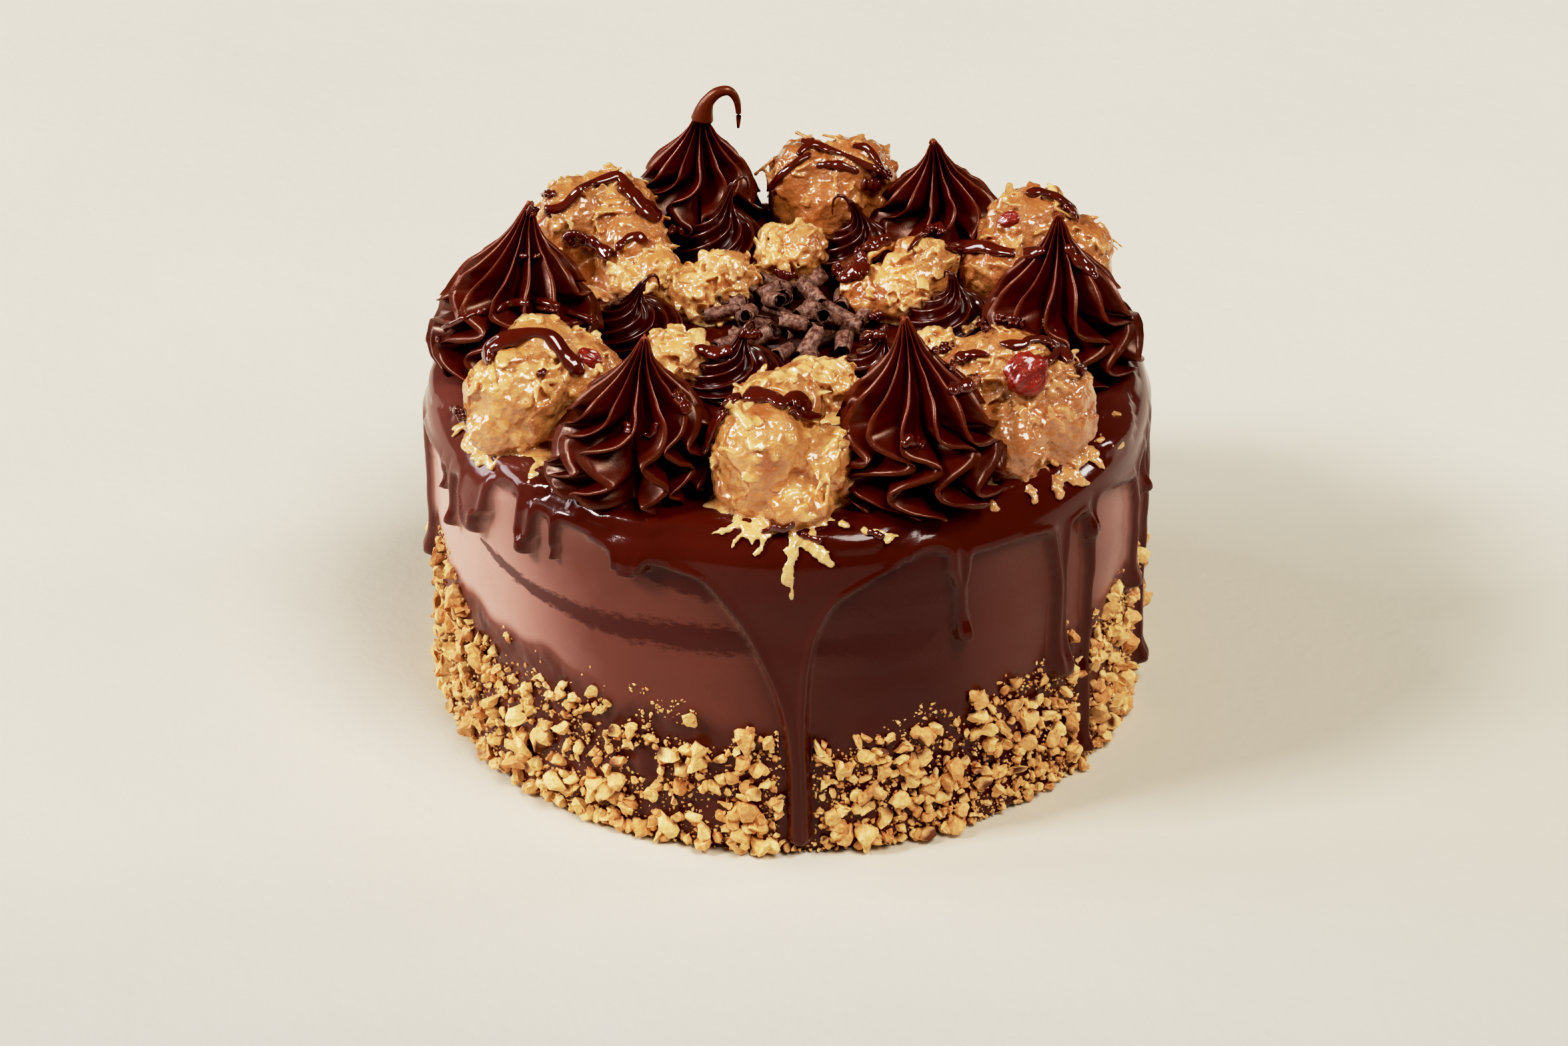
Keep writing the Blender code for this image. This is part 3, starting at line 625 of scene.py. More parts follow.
def cake_path():
    """The plain icing's turned path: reach, height, lean of its normal and distance along it.

    It runs from the underside up the wall, over the shoulder's arc and in to the middle.
    """
    foot = np.linspace(-math.pi / 2, 0.0, 4)[:-1]
    wall = np.concatenate((np.linspace(FOOT_ROUNDING, WALL_SPLIT[0], WALL_ROWS[0]),
                           np.linspace(WALL_SPLIT[1], WALL_TOP, WALL_ROWS[1])))
    arc = np.linspace(0.0, math.pi / 2, 11)[1:]
    foot_middle, middle = CAKE_RADIUS - FOOT_ROUNDING, CAKE_RADIUS - SHOULDER_RADIUS
    inward = middle * (1.0 - np.linspace(0.0, 1.0, 16)[1:-1] ** 1.2)
    reach = np.concatenate((foot_middle + FOOT_ROUNDING * np.cos(foot), np.full(len(wall), CAKE_RADIUS),
                            middle + SHOULDER_RADIUS * np.cos(arc), inward))
    height = np.concatenate((FOOT_ROUNDING * (1 + np.sin(foot)), wall,
                             WALL_TOP + SHOULDER_RADIUS * np.sin(arc), np.full(len(inward), ICING_TOP)))
    lean = np.concatenate((foot, np.zeros(len(wall)), arc, np.full(len(inward), math.pi / 2)))
    travel = np.concatenate((np.full(len(foot), wall[0]), wall, WALL_TOP + SHOULDER_RADIUS * arc,
                             WALL_TOP + SHOULDER_RADIUS * math.pi / 2 + middle - inward))
    return reach[:, None], height[:, None], lean[:, None], travel[:, None]


def glaze_dome(inside):
    """The glaze's round lip: sqrt(1 - (1 - q / e)^2) at a depth q inside its outline, 1 past a width e."""
    return np.sqrt(1.0 - (1.0 - np.clip(inside / LIP_WIDTH, 0.0, 1.0)) ** 2)


def glaze_thickness(angle, travel, inside):
    """The dome, with a low bead that follows the lip and a bulb at each drip's end, and the upper lip."""
    bead = np.exp(-((inside - BEAD_DEPTH) / BEAD_WIDTH) ** 2)
    fat = sum(np.exp(-((angle_apart(angle, math.radians(degrees)) * CAKE_RADIUS) ** 2
                       + (travel - end - half_width) ** 2) / (1.3 * half_width) ** 2)
              * min(half_width, FATTEST_DRIP) for degrees, end, half_width, _ in DRIPS)
    over = smooth(0.088, 0.104, travel)
    thick = glaze_dome(inside) * (GLAZE + (0.00060 + 0.00090 * bead + 0.72 * fat) * (1.0 - over))
    return thick + upper_lip(angle, travel)


def iced_cake(finish):
    """The cake: the turned path, moved along its normal by the glaze's thickness and soft waves."""
    reach, height, lean, travel = cake_path()
    angle = cake_columns(CAKE_COLUMNS)[None, :]
    inside = -glaze_distance(angle, travel)
    spots = np.stack(np.broadcast_arrays(reach * np.cos(angle), reach * np.sin(angle), height), axis=-1)
    drawn = spots * np.array((1.0, 1.0, 3.2))
    waves = 0.00075 * noise(drawn, 0.055, 5) + 0.00022 * noise(drawn, 0.020, 6)
    sticky = smooth(0.004, -0.004, travel - nut_band_top(angle)) * (1.0 - glaze_dome(inside))
    waves = waves + 0.0006 * sticky * rough(spots, 0.0045, 9)
    on_wall = smooth(0.0, 0.012, height) * (1.0 - smooth(0.088, 0.098, travel))
    thick = glaze_thickness(angle, travel, inside) + waves * on_wall
    out = reach + thick * np.cos(lean)
    up = height + thick * np.sin(lean)
    top_waves = 0.00025 * noise(spots, 0.018, 8) * smooth(0.100, 0.110, travel)
    rings = np.stack(np.broadcast_arrays(out * np.cos(angle), out * np.sin(angle), up + top_waves), axis=-1)
    points, faces = closed_rings(rings)
    glazed = np.concatenate((smooth(-0.0003, 0.0006, inside + 0 * travel).ravel(), (0.0, 1.0)))
    # Painted reflection by angle, weaker among the nuts; then the painted dark bands where the wall reflects
    # nothing bright.
    milky = keyed(PAINTED_SHEEN, np.degrees(angle))[..., 0] * (1.0 - 0.75 * sticky)
    milky = np.concatenate((milky.ravel(), (0.5, 0.3)))
    band = np.concatenate((painted_dark_bands(angle, travel).ravel(), (0.0, 0.0)))
    piece = new_piece("iced_cake", points, faces, finish, glazed=glazed, milky=milky, band=band)
    return settled(piece, "ganache", "cake_body")


# ---------------------------------------------------------------- chopped nuts

def icosphere(subdivisions):
    """Points and triangles of a unit icosphere, made once by Blender."""
    shape = bmesh.new()
    bmesh.ops.create_icosphere(shape, subdivisions=subdivisions, radius=1.0)
    points = np.array([v.co for v in shape.verts])
    faces = np.array([[v.index for v in f.verts] for f in shape.faces])
    shape.free()
    return points, faces


# How high the nuts reach on the wall, by angle in degrees, and the waves of their upper edge.
NUT_TOPS = (
    (0, 0.0500), (20, 0.0470), (45, 0.0420), (70, 0.0460), (100, 0.0430), (130, 0.0480), (160, 0.0500),
    (180, 0.0540), (192, 0.0560), (203, 0.0520), (215, 0.0510), (226, 0.0500), (238, 0.0450), (250, 0.0430),
    (262, 0.0415), (272, 0.0400), (283, 0.0385), (292, 0.0390), (304, 0.0430), (318, 0.0470),
    (332, 0.0520), (345, 0.0530), (360, 0.0500),
)
NUT_WAVES = ((16, 0.0012, 0.0), (41, 0.0009, 1.0))
# The nuts: name, how many, least and greatest radius, the ball's detail, and how high they reach and
# how far out they sit, as shares of the band's height and of their own radius.
NUTS = (
    ("nut_chunks", 2470, (0.0013, 0.0054), 2, 1.0, 0.36),
    ("nut_crumbs", 9800, (0.0004, 0.0015), 1, 1.15, 0.2),
)
NUT_SEED = 5
NUT_CUTS = 7
# The share of nuts with brown skin on one side.
SKINNED_SHARE = 0.34


def nut_band_top(angle):
    """Height in metres that the nuts reach at an angle in radians."""
    return keyed(NUT_TOPS, np.degrees(angle) % 360.0)[..., 0] + waved(NUT_WAVES, angle)


def scattered_nuts(rng, count, sizes, top_share):
    """Places, radii and outward directions of nuts: dense at the foot, thinning towards the top.

    Places are drawn at random on the unrolled wall. A nut stays if the clump noise there is above
    what its height asks, and if no glaze covers the spot.
    """
    angle = rng.uniform(0.0, 2 * math.pi, count * 3)
    radius = sizes[0] + (sizes[1] - sizes[0]) * rng.beta(0.9, 2.8, count * 3)
    height = rng.uniform(0.0, 1.0, count * 3) ** 1.15 * nut_band_top(angle) * top_share
    height = np.maximum(height, radius * 0.8)
    share = height / nut_band_top(angle)
    spot = np.stack((angle * CAKE_RADIUS, height, 0 * angle), axis=-1)
    clump = noise(spot, 0.009, 3) + 0.6 * noise(spot, 0.004, 4)
    stays = (clump > -1.1 + 1.15 * np.clip(share, 0, 1.3) ** 3) & (
        glaze_distance(angle, height) > 0.0004 + 0.5 * radius)
    keep = np.flatnonzero(stays)[:count]
    return angle[keep], height[keep], radius[keep]


def nut_pieces(rng, name, count, sizes, detail, top_share, out_share, finish):
    """Broken nuts: balls cut flat by random planes, p - max(p.n - d, 0) n, then turned and placed."""
    points, faces = icosphere(detail)
    angle, height, radius = scattered_nuts(rng, count, sizes, top_share)
    count = len(angle)
    shapes = np.broadcast_to(points, (count, *points.shape)) * rng.uniform(0.50, 1.20, (count, 1, 3))
    skin_way = unit(rng.normal(size=(count, 3)))
    skin = smooth(0.45, 0.75, np.einsum("npk,nk->np", shapes, skin_way))
    skin = skin * (rng.random((count, 1)) < SKINNED_SHARE)
    for _ in range(NUT_CUTS):
        way = unit(rng.normal(size=(count, 3)))
        past = np.einsum("npk,nk->np", shapes, way) - rng.uniform(0.22, 0.62, (count, 1))
        shapes = shapes - np.maximum(past, 0.0)[..., None] * way[:, None]
    shapes = shapes + rng.normal(scale=0.055, size=shapes.shape)
    shapes = np.einsum("nij,npj->npi", turned_frames(rng, count), shapes) * radius[:, None, None]
    out = CAKE_RADIUS + radius * out_share
    place = np.stack((out * np.cos(angle), out * np.sin(angle), height), axis=-1)
    shapes = shapes + place[:, None]
    shapes[..., 2] = np.maximum(shapes[..., 2], 0.0004)
    tint = np.broadcast_to(rng.beta(0.9, 1.1, (count, 1)), shapes.shape[:2])
    piece = new_piece(name, shapes.reshape(-1, 3), repeated(faces, count, len(points)), finish, flat=True,
                      skin=skin.ravel(), tint=tint.ravel())
    return settled(piece, "chopped_nuts")


# ---------------------------------------------------------------- piped shapes

# A rosette's outline: (place along it, share of its radius, share of its height).
ROSETTE_PROFILE = (
    (0.00, 0.72, 0.00), (0.06, 0.93, 0.015), (0.12, 0.99, 0.08), (0.20, 1.00, 0.18), (0.29, 0.98, 0.28),
    (0.38, 0.91, 0.38), (0.47, 0.79, 0.48), (0.56, 0.64, 0.575), (0.66, 0.46, 0.66), (0.76, 0.28, 0.755),
    (0.85, 0.155, 0.85), (0.93, 0.085, 0.935), (1.00, 0.035, 1.00),
)

# How far the ribs are pushed sideways, in rib pitches, at each share of the height, + towards the right.
LOOPS_LEFT = (
    (0.00, -0.80), (0.08, -0.95), (0.16, -1.10), (0.215, -0.72), (0.27, -0.42), (0.345, -0.82), (0.43, -1.00),
    (0.475, -0.45), (0.53, -0.08), (0.64, 0.0), (1.0, 0.0),
)
LOOPS_RIGHT = (
    (0.00, 0.85), (0.06, 0.80), (0.13, 0.30), (0.20, -0.22), (0.26, -0.25), (0.32, 0.08), (0.38, 0.72),
    (0.425, 0.62), (0.46, 0.05), (0.52, -0.12), (0.62, 0.0), (1.0, 0.0),
)

# Where each rosette stands: middle x and y, base radius and height above the cake's top.
ROSETTE_PLACES = (
    (-0.0420, -0.0692, 0.0245, 0.0440), (0.0355, -0.0718, 0.0257, 0.0488), (0.0765, -0.0040, 0.0250, 0.0460),
    (0.0455, 0.0640, 0.0228, 0.0385), (-0.0275, 0.0765, 0.0222, 0.0440), (-0.0785, 0.0005, 0.0262, 0.0465),
)
# Each rosette: its sway, how strong it is, overall twist, the first rib's place and the tip's lean.
ROSETTES = (
    (1, LOOPS_LEFT, 1.00, -0.20, 0.10, 0.0035, -0.0020), (2, LOOPS_RIGHT, 1.15, 0.10, 0.32, -0.0045, 0.0030),
    (3, LOOPS_RIGHT, 1.10, 0.25, 0.20, -0.0005, 0.0020), (4, LOOPS_LEFT, 0.80, -0.35, 0.0, -0.0025, -0.0020),
    (5, LOOPS_LEFT, 0.95, -0.40, 0.3, 0.0020, -0.0030), (6, LOOPS_RIGHT, 1.00, 0.30, 0.6, 0.0055, 0.0040),
)
RIBS = 12
HOOKED_ROSETTE = 5
TIP_SCRAPS = 7
ROSETTE_SEED, SWIRL_SEED = 40, 60


def rib_steps(columns_each, ribs):
    """Positions across the ribs in rib pitches, closer together at each crest."""
    within = np.linspace(0.0, 1.0, columns_each, endpoint=False)
    within = within + 0.075 * np.sin(2 * math.pi * within)
    return (np.arange(ribs)[:, None] + within).ravel()


def per_rib(rng, low, high, place, ribs):
    """A value for each rib, blended straight from one rib to the next."""
    values = rng.uniform(low, high, ribs)
    return np.interp(place % ribs, np.arange(ribs + 1), np.append(values, values[0]))


def rosette(number, loops, strength, twist, first_rib, lean_x, lean_y, finish):
    """A star-piped rosette: radius R s(t) (1 - depth g), with g = sqrt(sin^2(pi p) + e^2) - e.

    p counts the ribs round it and t runs up the profile. g is 0 along a crest and largest in the
    valley between two ribs, so a small e gives a thin crest. The ribs are turned by the twist and
    by the sway, which is keyed to the height and differs from rib to rib. A crest is pushed
    further than the valleys beside it, so that it leans over like a petal.
    """
    rng = np.random.default_rng(ROSETTE_SEED + number)
    x, y, radius, tall = ROSETTE_PLACES[number - 1]
    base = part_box(f"rosette_{number}")[0].z
    rows = even_by(lambda t: 1.0 + 0.9 * smooth(0.55, 0.35, t), 0.0, 1.0, 118)
    profile = keyed(ROSETTE_PROFILE, rows)
    share, rise = profile[:, :1], profile[:, 1:]
    place = rib_steps(20, RIBS)[None, :]
    crest_width = 0.34 - 0.29 * smooth(0.03, 0.36, rise)
    groove = np.sqrt(np.sin(math.pi * place) ** 2 + crest_width ** 2) - crest_width
    groove = groove / (np.sqrt(1.0 + crest_width ** 2) - crest_width)
    depth = (0.34 + 0.22 * smooth(0.02, 0.35, rise)) * (1.0 + 0.10 * smooth(0.5, 0.9, rise))
    depth = depth * per_rib(rng, 0.85, 1.12, place + 0.5, RIBS)
    shift = per_rib(rng, -0.045, 0.045, place, RIBS)
    power = per_rib(rng, 0.60, 1.20, place, RIBS)
    sway = keyed(loops, np.clip(rise + shift * smooth(0.7, 0.4, rise), 0.0, 1.0))[..., 0]
    sway = strength * power * sway * (1.22 - 0.55 * groove)
    turn = 2 * math.pi * (place + sway) / RIBS + twist * rise + first_rib
    swell = 1.0 + per_rib(rng, -0.06, 0.04, place, RIBS) * smooth(0.75, 0.3, rise)
    reach = radius * share * swell * (1.0 - depth * groove)
    droop = 0.0026 * (1.0 - groove) * smooth(0.62, 0.42, rise) * smooth(0.03, 0.2, rise)
    points = np.stack((
        x + reach * np.cos(turn) + lean_x * rise ** 2,
        y + reach * np.sin(turn) + lean_y * rise ** 2,
        np.maximum(base + tall * rise - droop, base),
    ), axis=-1)
    points += (0.00018 * noise(points, 0.003, 11))[..., None]
    # The crest measure, which the finish paints lighter as light glowing through thin icing.
    thin = np.clip(1.0 - groove / 0.12, 0.0, 1.0) * (0.25 + 0.55 * smooth(0.15, 0.9, rise))
    tip = smooth(0.86, 0.98, rise + 0 * place)
    edges = [np.maximum(thin, 0.8 * tip).ravel(), (0.0, 0.6)]
    parts = [closed_rings(points)]
    if number == HOOKED_ROSETTE:
        parts.append(hooked_tip(x + lean_x, y + lean_y, base + tall, 0.0, 1.0, 0.0034))
        edges.append(np.full(len(parts[-1][0]), 0.35))
    parts.append(frayed_tip(rng, x + lean_x, y + lean_y, base + tall * 0.985))
    edges.append(np.full(len(parts[-1][0]), 0.95))
    piece = new_piece(f"piped_rosette_{number}", *joined(parts), finish, edge=np.concatenate(edges))
    return settled(piece, "piped_icing", f"rosette_{number}")


# The drawn-out hook of a tip, as (distance out, distance up).
HOOK_KEYS = (
    (0.0, -0.0040), (0.0006, -0.0010), (0.0018, 0.0018), (0.0045, 0.0045), (0.0078, 0.0052), (0.0100, 0.0028),
    (0.0108, -0.0015), (0.0107, -0.0068),
)


def hooked_tip(x, y, top, heading, size, start_radius):
    """The drawn-out tip: a thread that goes up, over towards the heading and down again."""
    out, up = size * np.array(HOOK_KEYS).T
    keys = np.column_stack((np.linspace(0, 1, len(out)), x + out * math.cos(heading),
                            y + out * math.sin(heading), top + up))
    steps = np.linspace(0, 1, 40)
    radii = start_radius * np.interp(steps, (0, 0.3, 0.7, 0.93, 1.0), (1.0, 0.58, 0.35, 0.21, 0.12))
    return tube(keyed(keys, steps), radii, 12)


def frayed_tip(rng, x, y, top):
    """A few dry scraps at the very tip: short thin strands that lean out and down."""
    scraps = []
    for _ in range(TIP_SCRAPS):
        way = rng.uniform(0, 2 * math.pi)
        out = rng.uniform(0.0008, 0.0018)
        drop = rng.uniform(-0.0006, 0.0026)
        steps = np.linspace(0.0, 1.0, 6)[:, None]
        path = np.array((x, y, top)) + np.hstack((out * np.cos(way) * steps, out * np.sin(way) * steps,
                                                  0.0008 * np.sin(math.pi * steps) - drop * steps ** 2))
        scraps.append(tube(path, np.linspace(0.0006, 0.0002, 6), 5))
    return joined(scraps)


# A swirl's outline, in the same terms.
SWIRL_PROFILE = (
    (0.00, 0.88, 0.00), (0.10, 0.99, 0.10), (0.20, 1.00, 0.24), (0.32, 0.93, 0.42), (0.45, 0.78, 0.60),
    (0.58, 0.58, 0.75), (0.70, 0.38, 0.87), (0.80, 0.22, 0.98), (0.88, 0.135, 1.12), (0.95, 0.09, 1.30),
    (1.00, 0.065, 1.42),
)

# Each swirl: middle x and y, base radius, height of its dome, which way its tip hooks, in degrees,
# and how far.
SWIRLS = (
    (1, -0.0190, 0.0560, 0.0145, 0.0190, 20.0, 0.9), (2, 0.0215, 0.0540, 0.0148, 0.0160, 185.0, 1.0),
    (3, 0.0480, 0.0150, 0.0145, 0.0130, 150.0, 0.4), (4, 0.0262, -0.0170, 0.0135, 0.0120, 60.0, 0.4),
    (5, -0.0140, -0.0180, 0.0145, 0.0125, 40.0, 0.7), (6, -0.0445, 0.0120, 0.0150, 0.0120, 15.0, 0.9),
)
SWIRL_RIDGES = 9


def swirl(number, x, y, radius, tall, heading, hook, finish):
    """A small swirl: a low dome with fine ridges wound round it and a thin tip that hooks over.

    The skin is the dome less depth g along its normal, with g = sqrt(sin^2(pi p) + e^2) - e for p
    counting the ridges. The ridges turn fastest near the foot, so they lie nearly level there.
    """
    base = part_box(f"swirl_{number}")[0].z
    rng = np.random.default_rng(SWIRL_SEED + number)
    rows = np.linspace(0.0, 1.0, 90)
    profile = keyed(SWIRL_PROFILE, rows)
    share, rise = profile[:, :1], profile[:, 1:]
    slope = unit(np.gradient(np.column_stack((radius * share, tall * rise)), axis=0))
    place = rib_steps(15, SWIRL_RIDGES)[None, :]
    groove = np.sqrt(np.sin(math.pi * place) ** 2 + 0.004) - 0.063
    sized = per_rib(rng, 0.65, 1.25, place + 0.5, SWIRL_RIDGES)
    depth = 0.0034 * smooth(0.0, 0.25, rise) * np.clip(share / 0.45, 0.10, 1.0) * sized
    uneven = per_rib(rng, -0.10, 0.10, place, SWIRL_RIDGES) * smooth(0.9, 0.3, share)
    wound = 4.4 * rows[:, None] ** 0.75 + uneven
    turn = 2 * math.pi * place / SWIRL_RIDGES + wound + number
    coil = 1.0 + 0.06 * np.sin(turn - wound * 1.6)
    reach = radius * share * coil - depth * groove * slope[:, 1:]
    height = tall * rise + depth * groove * slope[:, :1]
    way = math.radians(heading)
    bend = 0.0022 * np.maximum(0.0, rise - 0.9) ** 1.5 * hook * 4.0
    points = np.stack((x + reach * np.cos(turn) + bend * math.cos(way),
                       y + reach * np.sin(turn) + bend * math.sin(way),
                       base + np.maximum(height, 0.0)), axis=-1)
    tip = hooked_tip(*points[-3].mean(0), way, 0.52 * hook, 0.0011)
    # The crests, which the finish paints with highlight lines.
    thin = np.clip(1.0 - groove / 0.10, 0.0, 1.0) * 0.7 * np.ones_like(rise)
    edge = np.concatenate((thin.ravel(), (0.0, 0.3), np.full(len(tip[0]), 0.4)))
    piece = new_piece(f"piped_swirl_{number}", *joined([closed_rings(points), tip]), finish, edge=edge)
    return settled(piece, "swirl_icing", f"swirl_{number}")


# ---------------------------------------------------------------- coconut icing

# Balls and clumps: middle x and y, base radius, height above the cake's top.
COCONUT_BALLS = (
    (-0.0695, -0.0430, 0.0205, 0.0320), (-0.0030, -0.0790, 0.0195, 0.0350), (0.0640, -0.0505, 0.0220, 0.0315),
    (0.0750, 0.0420, 0.0205, 0.0330), (0.0125, 0.0770, 0.0198, 0.0345), (-0.0560, 0.0540, 0.0205, 0.0310),
)
COCONUT_CLUMPS = (
    (-0.0420, 0.0330, 0.0125, 0.0185), (-0.0240, 0.0315, 0.0130, 0.0170), (0.0005, 0.0490, 0.0110, 0.0200),
    (0.0335, 0.0325, 0.0160, 0.0225), (0.0420, -0.0080, 0.0095, 0.0140), (0.0085, -0.0300, 0.0125, 0.0180),
    (-0.0315, -0.0110, 0.0115, 0.0170),
)
# How brown each ball is, from 0 to 1, and how brown the clumps are.
BALL_TONES = (0.15, 0.05, 0.75, 0.85, 1.00, 0.75)
CLUMP_TONE = 0.22
# The lumps that each ball and clump is made of, each as a ball's own numbers.
BALL_LUMPS = (
    ((-0.0745, -0.0465, 0.0148, 0.0290), (-0.0590, -0.0385, 0.0150, 0.0280),
     (-0.0785, -0.0490, 0.0120, 0.0150), (-0.0690, -0.0390, 0.0130, 0.0318)),
    ((-0.0075, -0.0815, 0.0150, 0.0290), (0.0075, -0.0795, 0.0135, 0.0215),
     (-0.0035, -0.0690, 0.0140, 0.0335), (0.0005, -0.0870, 0.0130, 0.0100)),
    ((0.0560, -0.0450, 0.0160, 0.0295), (0.0705, -0.0505, 0.0160, 0.0275),
     (0.0600, -0.0600, 0.0145, 0.0190), (0.0620, -0.0480, 0.0150, 0.0305)),
    ((0.0710, 0.0460, 0.0160, 0.0325), (0.0810, 0.0370, 0.0145, 0.0250), (0.0640, 0.0350, 0.0140, 0.0200)),
    ((0.0060, 0.0770, 0.0145, 0.0330), (0.0190, 0.0770, 0.0150, 0.0335), (0.0130, 0.0690, 0.0140, 0.0270)),
    ((-0.0630, 0.0530, 0.0150, 0.0280), (-0.0520, 0.0570, 0.0160, 0.0305), (-0.0470, 0.0480, 0.0145, 0.0230)),
)
CLUMP_LUMPS = (
    ((-0.0445, 0.0330, 0.0095, 0.0135), (-0.0385, 0.0325, 0.0085, 0.0160)),
    ((-0.0285, 0.0300, 0.0085, 0.0120), (-0.0185, 0.0330, 0.0095, 0.0150)),
    ((-0.0035, 0.0480, 0.0075, 0.0130), (0.0040, 0.0500, 0.0080, 0.0165)),
    ((0.0270, 0.0300, 0.0110, 0.0120), (0.0390, 0.0340, 0.0110, 0.0190), (0.0340, 0.0270, 0.0110, 0.0110)),
    ((0.0420, -0.0080, 0.0075, 0.0105),),
    ((0.0045, -0.0310, 0.0085, 0.0130), (0.0120, -0.0280, 0.0080, 0.0145)),
    ((-0.0330, -0.0100, 0.0085, 0.0140), (-0.0275, -0.0130, 0.0075, 0.0105)),
)
# The height that scoops stand on, and where their middle lies as a share of their own height.
TOP = CAKE_HEIGHT + 0.0003
MIDDLE_SHARE = 0.38
# Flakes on each lump: how many, their sizes, how far they tip and the lowest direction they take.
BALL_FLAKES = ((14, (0.0014, 0.0028), 0.35, -0.2), (18, (0.0016, 0.0034), 1.1, 0.45))
CLUMP_FLAKES = ((34, (0.0015, 0.0030), 1.0, 0.0), (8, (0.0022, 0.0040), 1.6, 0.35))
# Shreds on each lump of a ball: how many, lengths, half widths, lift and the lowest direction.
BALL_SHREDS = (20, (0.0040, 0.0085), (0.0008, 0.0014), (-0.04, 0.34), -0.1)
# Lumps are this craggy, and are made with this many rows and columns.
BALL_CRAGS, BALL_GRID = 1.0, (72, 110)
CLUMP_CRAGS, CLUMP_GRID = 1.4, (56, 90)
BALL_SEED, CLUMP_SEED = 100, 200
# The torn foot of each: the seed of its edge, how far it reaches as a share of the scoop's radius,
# and its thickness. Then how many shreds lie round it.
BALL_FOOT, CLUMP_FOOT = (300, 0.98, 0.0018), (400, 0.90, 0.0014)
BALL_SKIRT, CLUMP_SKIRT = 40, 14
CLUMP_STRANDS = 11
# The cells of the remesh that draws each scoop's skin, and how often it is smoothed.
BALL_VOXEL, CLUMP_VOXEL = 0.00045, 0.00038
SKIN_PASSES = 3
# Thickness of shreds that lie on a lump, round its foot and down the shoulder, and how high the last
# two lie above the cake.
SHRED_THICK, SKIRT_THICK, HANGING_THICK = 0.00042, 0.0006, 0.00060
SKIRT_LIFT = 0.0009

# Torn shreds that hang from a ball on to the cake: where each starts and ends, as distance from the
# cake's middle along its skin and angle in degrees, with its half width at both ends.
HANGING_SHREDS = {
    2: ((0.0960, 270.5, 0.1170, 270.2, 0.0017, 0.0015), (0.0965, 272.0, 0.1075, 276.3, 0.0034, 0.0013),
        (0.0945, 275.0, 0.1015, 287.5, 0.0030, 0.0008), (0.0950, 279.0, 0.1030, 282.0, 0.0018, 0.0007),
        (0.0950, 262.0, 0.1000, 258.3, 0.0016, 0.0006), (0.0955, 264.5, 0.1030, 261.0, 0.0017, 0.0006),
        (0.0950, 267.0, 0.1045, 265.0, 0.0020, 0.0007)),
    1: ((0.0880, 207.5, 0.0960, 203.8, 0.0022, 0.0008), (0.0885, 210.0, 0.0980, 208.4, 0.0024, 0.0009),
        (0.0890, 213.5, 0.0960, 213.0, 0.0018, 0.0007), (0.0890, 218.5, 0.0985, 219.5, 0.0022, 0.0007),
        (0.0890, 222.0, 0.1000, 225.5, 0.0026, 0.0011), (0.0880, 204.0, 0.0945, 199.5, 0.0018, 0.0007)),
    3: ((0.0930, 329.0, 0.1040, 335.5, 0.0024, 0.0020), (0.0900, 331.0, 0.0985, 340.0, 0.0026, 0.0012),
        (0.0930, 312.0, 0.1030, 311.0, 0.0020, 0.0008), (0.0940, 316.5, 0.1050, 316.5, 0.0026, 0.0012),
        (0.0935, 321.0, 0.1035, 322.0, 0.0020, 0.0007), (0.0920, 305.5, 0.1010, 303.5, 0.0018, 0.0007)),
    4: ((0.0930, 20.0, 0.1010, 17.0, 0.0020, 0.0007), (0.0935, 27.0, 0.1030, 27.5, 0.0022, 0.0008),
        (0.0930, 33.0, 0.1000, 36.5, 0.0018, 0.0007)),
    5: ((0.0935, 77.0, 0.1020, 75.0, 0.0020, 0.0007), (0.0940, 83.0, 0.1040, 84.0, 0.0022, 0.0008)),
    6: ((0.0930, 132.0, 0.1010, 129.0, 0.0020, 0.0007), (0.0930, 140.0, 0.1030, 141.0, 0.0022, 0.0008)),
}


def on_the_cake(travel, angle, lift):
    """A place on the cake's skin: in from the middle, over the shoulder's arc and down the wall.

    Also gives the skin's outward direction there. travel is the distance from the cake's middle.
    """
    flat = CAKE_RADIUS - SHOULDER_RADIUS
    bend = SHOULDER_RADIUS + GLAZE
    tilt = np.clip((travel - flat) / bend, 0.0, math.pi / 2)
    down = np.maximum(0.0, travel - flat - bend * math.pi / 2)
    reach = np.minimum(travel, flat) + (bend + lift) * np.sin(tilt)
    height = CAKE_HEIGHT - bend - down + (bend + lift) * np.cos(tilt)
    out = np.stack((np.sin(tilt) * np.cos(angle), np.sin(tilt) * np.sin(angle), np.cos(tilt)), axis=-1)
    return np.stack((reach * np.cos(angle), reach * np.sin(angle), height), axis=-1), out


def scoop_reach(way, place, seed, crags):
    """How far a scoop's skin is from its middle in each direction.

    A superellipsoid, 1 / ((w / a)^p + (h / c)^p)^(1/p), swollen by broad noise, by ledges where a
    second noise passes zero, and by lumps of a few millimetres.
    """
    _, _, radius, tall = place
    power = 2.3
    upright = np.where(way[..., 2] > 0, tall * (1 - MIDDLE_SHARE) * 0.93, tall * MIDDLE_SHARE * 1.5)
    plain = ((np.hypot(way[..., 0], way[..., 1]) / (radius * 0.93)) ** power
             + np.abs(way[..., 2] / upright) ** power) ** (-1.0 / power)
    spot = way * radius
    torn = noise(spot, 0.0120, seed + 3) + 0.34 * noise(spot, 0.0036, seed + 4)
    ledge = smooth(-0.05, 0.06, torn) * 0.11 - 0.055
    lumps = 0.040 * noise(spot, 0.0050, seed + 6) + 0.020 * noise(spot, 0.0024, seed + 7)
    return plain * (1.0 + crags * (0.110 * noise(spot, 0.015, seed) + ledge + lumps))


